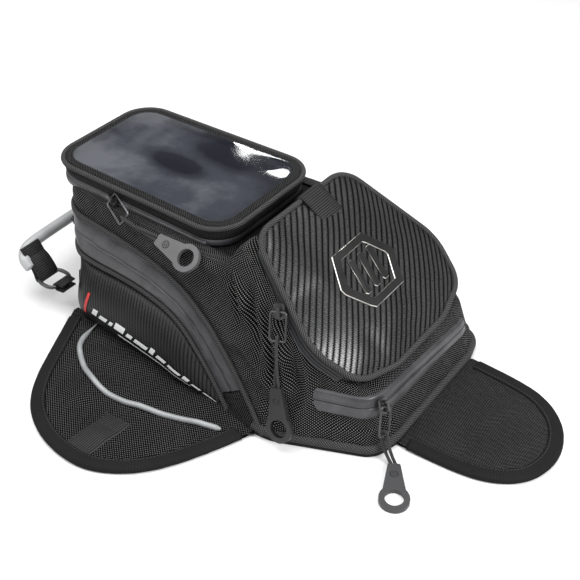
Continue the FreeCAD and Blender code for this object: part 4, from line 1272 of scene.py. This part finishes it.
def build_flap_sheet(name, edge_points, root, magnets, seed, cloth, stretch, reach=3.0, edge_count=120):
    edge = smooth(edge_points, edge_count)
    base = np.linspace(root[0], root[1], edge_count)
    shares = np.r_[0, np.linspace(0.03, 0.94, 26), 0.985, 1.0]
    rows = []
    for s in shares:
        ab = base * (1 - s) + edge * s
        z = flap_height(ab[:, 0], ab[:, 1], magnets, seed, reach, stretch)
        far = np.hypot(ab[:, :1] - edge[:, 0], ab[:, 1:] - edge[:, 1]).min(1)
        z = 3.9 + (z - 3.9) * np.clip((far - 11) / 22, 0, 1)
        z = np.where(s > 0.99, 3.2, z)
        rows.append(np.column_stack([ab, z]))
    points = np.array(rows)
    if np.cross(points[10, 61] - points[10, 60], points[11, 60] - points[10, 60])[2] < 0:
        points = points[:, ::-1]
    obj = grid(name, points, points[..., :2], cloth)
    pins = np.full(points.shape[:2], 0.15)
    pins[:2], pins[-3:], pins[:, :2], pins[:, -2:] = 1, 1, 1, 1
    settle(obj, pins.ravel(), 0.5, 0.006, 1.2, frames=12)
    thicken(obj, 3.3)
    subdivide(obj)
    return obj, edge


def edge_binding(name, edge, wide=12.5, count=200):
    """Tape folded over a flap's free edge, with its stitched inner border."""
    edge = resample(edge, count)
    path = np.column_stack([edge, np.zeros(count)])
    t = tangents(path)
    up = np.tile([0.0, 0, 1], (count, 1))
    inward = norm(np.cross(t, up))
    middle = path.mean(0)
    if ((middle - path) * inward).sum() < 0:
        inward = -inward
    pucker = 0.25 * ripple(np.arange(count) * 2.4, 0.0 * np.arange(count), 5, 22)
    profile = [(wide, 4.3), (wide - 0.2, 5.3), (wide - 1.6, 5.7), (wide * 0.5, 5.8), (1.8, 5.5), (-0.6, 4.4),
               (-1.4, 2.6), (-0.8, 0.9), (1.5, 0.3), (wide - 2, 0.3), (wide - 2, 0.9)]
    tape = sweep(name, path + up * pucker[:, None] * 0.5, inward, up, profile, "binding")
    rows = dashes("stitch", path + inward * (wide - 1.9) + up * 5.6, (0, 0, 1), "thread", 3.2, 2.2, 0.3)
    return joined(name, tape, rows)


def over(obj):
    """Finds the height of an object's top surface at places in millimetres."""
    tree = BVHTree.FromObject(obj, bpy.context.evaluated_depsgraph_get())

    def height(x, y):
        down = Vector((0, 0, -1))
        hits = [tree.ray_cast(Vector((a * MM, b * MM, 0.1)), down)[0] for a, b in zip(x.ravel(), y.ravel())]
        return np.array([4.0 if hit is None else hit.z / MM for hit in hits]).reshape(x.shape)

    return height


def build_side_flaps():
    cloth, edge = build_flap_sheet("flap_cover_left", FLAP_EDGE, FLAP_ROOT, FLAP_MAGNETS, 15, "flap_cloth", (0.75, 1.3))
    binding = edge_binding("flap_edge_left", edge[4:-4])
    line = smooth([(-150, -113), (-148, -128), (-144, -144), (-127, -159), (-104, -172), (-76, -180), (-45, -177),
                   (-8, -168), (44, -151)], 110)
    top = over(cloth)
    z = top(line[:, 0], line[:, 1])
    wide = np.clip(np.arange(110) / 10.0, 0.35, 1.0) * np.clip((109 - np.arange(110)) / 3.0 + 0.35, 0, 1)
    piping = tube("flap_reflector_left", np.column_stack([line, z + 1.7]), 2.8, "reflective", widths=wide)
    quad = np.array([(-60, -251), (-31, -249), (-25, -195), (-54, -195)], float)
    A, B = np.meshgrid(np.linspace(0, 1, 10), np.linspace(0, 1, 16))
    ab = ((1 - A) * (1 - B))[..., None] * quad[0] + (A * (1 - B))[..., None] * quad[1] \
        + (A * B)[..., None] * quad[2] + ((1 - A) * B)[..., None] * quad[3]
    z = top(ab[..., 0], ab[..., 1]) + 1.3
    edge_fall = np.minimum(np.minimum(A, 1 - A), np.minimum(B, 1 - B)) < 0.01
    z = np.where(edge_fall, z - 1.6, z)
    patch = grid("flap_strap_left", np.dstack([ab, z]), np.dstack([A * 29, B * 56]), "webbing")
    row = np.linspace(quad[3] * 0.95 + quad[0] * 0.05, quad[2] * 0.95 + quad[1] * 0.05, 10)
    cross = np.linspace(quad[3] * 0.75 + quad[0] * 0.25, quad[2] * 0.75 + quad[1] * 0.25, 10)
    stitch = [dashes("s", np.column_stack([r, top(r[:, 0], r[:, 1]) + 1.4]),
                     (0, 0, 1), "thread", 3.0, 2.1, 0.3) for r in (row, cross)]
    patch = joined("flap_strap_left", patch, *stitch)
    sets = {"flap_cover": (cloth, "flap", "ballistic"), "flap_edge": (binding, "flap_binding", "webbing"),
            "flap_reflector": (piping, "flap_piping", "reflective"), "flap_strap": (patch, "flap_patch", "webbing")}
    for name, (left, node, slot) in sets.items():
        right = mirrored(left, name + "_right")
        for obj, side, sign in ((left, "left", -1.0), (right, "right", 1.0)):
            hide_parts(node + "_" + side)
            if name == "flap_strap":
                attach(obj, "flap_" + side)
            else:
                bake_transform(obj)


def build_tongue():
    cloth, edge = build_flap_sheet("tongue_cover", TONGUE_EDGE, ((179.0, 68.0), (179.0, -68.0)), TONGUE_MAGNETS, 27,
                                   "tongue_cloth", (1.3, 0.6), reach=1.8, edge_count=110)
    binding = edge_binding("tongue_edge", edge[3:-3])
    for obj, node, slot in ((cloth, "tongue_flap", "ballistic"), (binding, "tongue_binding", "webbing")):
        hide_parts(node)
        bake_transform(obj)


def build_magnets():
    """Thin magnet discs, sewn in between each flap's two faces."""
    a = np.linspace(0, 2 * math.pi, 32, endpoint=False)
    profile = np.stack([np.cos(a), np.sin(a)], 1) * MAGNET_R
    far = [(x, -y) for x, y in FLAP_MAGNETS]
    for node, body, spots in (("flap_magnets_left", "flap_left", FLAP_MAGNETS),
                              ("flap_magnets_right", "flap_right", far),
                              ("tongue_magnets", "tongue", TONGUE_MAGNETS)):
        discs = []
        for x, y in spots:
            path = np.array([(x, y, 2.5), (x, y, 3.3)])
            across, up = np.tile([1.0, 0, 0], (2, 1)), np.tile([0, 1.0, 0], (2, 1))
            discs.append(sweep("disc", path, across, up, profile, "magnet"))
        put(joined(node + "_discs", *discs), body, node, slot="magnet")


# ---------------------------------------------------------------- handle
def build_handle():
    grip = smooth([(-233, -119, 42), (-243, -118, 49), (-251, -108, 54), (-252, -88, 56), (-253, 0, 57), (-252, 88, 56),
                   (-251, 108, 54), (-243, 118, 49), (-233, 119, 42)], 130)
    wide = 1.0 - 0.12 * np.clip(1 - np.arange(130) / 5.0, 0, 1) - 0.12 * np.clip(1 - (129 - np.arange(130)) / 5.0, 0, 1)
    put(subdivide(tube("grip_tube", grip, 6.3, "grip", sides=14, widths=wide)), "handle", "handle_grip", slot="grip")
    straps, anchors = [], []
    for side in (1.0, -1.0):
        y = -106.0 * side
        end = [(-246, y, 60.5), (-242.5, y, 57), (-238.5, y, 50), (-233, y, 41), (-230.5, y, 34), (-230, y, 29.5),
               (-228, y, 26.4), (-224.6, y, 26.4), (-222.4, y, 29), (-223, y, 33), (-227, y, 40), (-234, y, 48.5),
               (-243, y, 51)]
        path = smooth(end, 44)
        across = np.tile([0.0, 1.0, 0.0], (44, 1))
        up = norm(np.cross(tangents(path), across))
        straps.append(sweep("strap", path, across, up, [(-12, -0.8), (12, -0.8), (12, 0.8), (-12, 0.8)], "webbing"))
        body_line = [wall(26.5 * side, z, off) for z, off in ((38, 0.8), (33, 1.4), (24, 2.2), (14, 2.2), (4, 1.6))]
        loop = [(-193, y, 34.0), (-199, y, 34.5), (-203, y, 34.2), (-206.8, y, 31), (-206.8, y, 28), (-203.5, y, 25.8),
                (-199, y, 26.5), (-193, y, 27.5)]
        path = smooth(loop, 30)
        across = np.tile([0.0, 1.0, 0.0], (30, 1))
        up = norm(np.cross(tangents(path), across))
        anchors.append(sweep("anchor", path, across, up, [(-9, -0.8), (9, -0.8), (9, 0.8), (-9, 0.8)], "webbing"))
        path = smooth(body_line, 24)
        t = tangents(path)
        out = norm(np.tile(outward(26.5 * side), (24, 1)))
        across = norm(np.cross(t, out))
        anchors.append(sweep("strip", path, across, np.cross(across, t), [(-10, -1), (10, -1), (10, 1), (-10, 1)],
                             "webbing"))
    put(joined("handle_straps", *straps), "handle", "handle_webbing", slot="webbing")
    put(joined("handle_anchor_straps", *anchors), "bag", "handle_anchors", slot="webbing")
    rings = []
    for side in (1.0, -1.0):
        loop = [(-226, -116), (-226, -96), (-221, -92), (-208, -92), (-203, -96), (-203, -116),
                (-208, -120), (-221, -120)]
        ring = smooth(loop, 60, True)
        ring[:, 1] *= side
        path = np.column_stack([ring, 30.0 + 0 * ring[:, 0]])
        rings.append(tube("ring", path, 2.1, "metal", closed=True, sides=10))
    put(joined("handle_ring_pair", *rings), "handle", "handle_rings", slot="hardware")


# ---------------------------------------------------------------- hardware kept from CAD
def bevel(node, width, mat):
    """A CAD node whose shape is right keeps it, with softened edges and its material."""
    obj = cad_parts[node]
    obj.data.materials.clear()
    obj.data.materials.append(M[mat])
    weld = obj.modifiers.new("Weld", "WELD")
    weld.merge_threshold = 1e-6
    soft = obj.modifiers.new("Bevel", "BEVEL")
    soft.width = width * MM
    soft.segments = 3
    soft.limit_method = "ANGLE"
    soft.angle_limit = math.radians(35)
    soft.harden_normals = False
    return obj


def tab_ornament(name, mouth, along, normal):
    """Small generic relief on a pull tab: a ring and two short ribs."""
    origin, x, z = np.array(mouth, float), norm(along), norm(normal)
    z = norm(z - x * (z @ x))
    y = np.cross(z, x)
    lift = 2.25
    a = np.linspace(0, 2 * math.pi, 24, endpoint=False)
    centre = origin + x * 12.0 + z * lift
    circle = centre + np.outer(np.cos(a), x) * 3.4 + np.outer(np.sin(a), y) * 3.4
    parts = [tube("o", circle, 0.45, "rubber_dark", closed=True, sides=6, hint=tuple(z))]
    for shift in (-1.1, 1.1):
        line = centre + x * shift + np.outer(np.linspace(-1.8, 1.8, 4), y)
        parts.append(tube("o", line, 0.4, "rubber_dark", sides=6, hint=tuple(z)))
    return joined(name, *parts)


def build_hardware():
    for pull in ("lid", "pocket", "front"):
        bevel(pull + "_pull_tab", 0.9, {"lid": "rubber", "pocket": "rubber_dark", "front": "rubber_mid"}[pull])
        bevel(pull + "_wire_loop", 0.1, "steel" if pull == "lid" else "wire_dark")
        bevel(pull + "_slider", 0.4, "metal")
    for side in ("left", "right"):
        bevel("side_zip_slider_" + side, 0.4, "metal")
    bevel("base_board", 0.3, "board")
    put(tab_ornament("lid_tab_relief", (-76, -88, 129), (36, -3.5, -3), (0, -0.62, 0.78)), "lid_pull")
    put(tab_ornament("pocket_tab_relief", (85.5, -121.6, 58.5), (8.5, -8.6, -26), (0, -0.94, 0.33)), "pocket_pull")
    put(tab_ornament("front_tab_relief", (191.3, -92.5, 2.3), (20, -32, 0), (0, 0, 1)), "front_pull")


# ---------------------------------------------------------------- room and light
def build_room():
    s = Surface("floor", Roughness=0.6)
    cloud = s.noise(0.003, 3.0)
    s.finish(s.ramp(cloud, (0.3, (0.80, 0.80, 0.80)), (0.7, (0.84, 0.84, 0.84))))
    M["floor"] = s.mat
    size = 4000.0
    corners = [(-size, -size), (size, -size), (size, size), (-size, size)]
    floor = link("floor", [(x, y, -0.2) for x, y in corners], [(0, 1, 2, 3)], corners, "floor")
    world = bpy.data.worlds.new("studio")
    bpy.context.scene.world = world
    world.use_nodes = True
    world.node_tree.nodes["Background"].inputs[0].default_value = (1.0, 1.0, 1.0, 1.0)
    world.node_tree.nodes["Background"].inputs[1].default_value = 0.26
    lamps = [  # name, place, aim, size, power, roll in degrees
        ("window_softbox", (-0.278, 0.316, 0.360), (-0.0656, 0.0482, 0.1516), (0.078, 0.015), 0.10, -17),
        ("pod_softbox", (1.18, 0.08, 0.98), (0.10, 0.0, 0.10), (0.60, 0.36), 17.0, 0),
        ("overhead", (-0.3, -0.1, 2.2), (0.0, 0.0, 0.0), (2.2, 2.2), 58.0, 0),
        ("rear_left", (-1.1, -0.9, 1.2), (0.0, 0.0, 0.05), (0.7, 0.5), 7.0, 0),
        ("front_fill", (0.5, -1.7, 0.8), (0.0, 0.0, 0.05), (1.2, 0.8), 5.0, 0),
    ]
    for name, place, aim, (wide, tall), power, roll in lamps:
        data = bpy.data.lights.new(name, "AREA")
        data.shape = "ELLIPSE" if name == "window_softbox" else "RECTANGLE"
        data.size, data.size_y, data.energy = wide, tall, power
        lamp = bpy.data.objects.new(name, data)
        lamp.location = place
        lamp.rotation_mode = "QUATERNION"
        lamp.rotation_quaternion = (Vector(aim) - Vector(place)).to_track_quat("-Z", "Y") @ Quaternion(
            (0, 0, 1), math.radians(roll))
        bpy.context.scene.collection.objects.link(lamp)
    bpy.context.scene.view_settings.view_transform = "Standard"


build_shell()
seam_piping("arch_edge", upper_line, "arch_pipings", 2.5)
seam_piping("pocket_edge", lower_line, "pocket_pipings", 2.3)
build_side_tape()
build_side_pocket()
build_front()
build_inside()
build_lid()
build_front_pocket()
build_side_flaps()
build_tongue()
build_magnets()
build_handle()
build_hardware()
build_room()
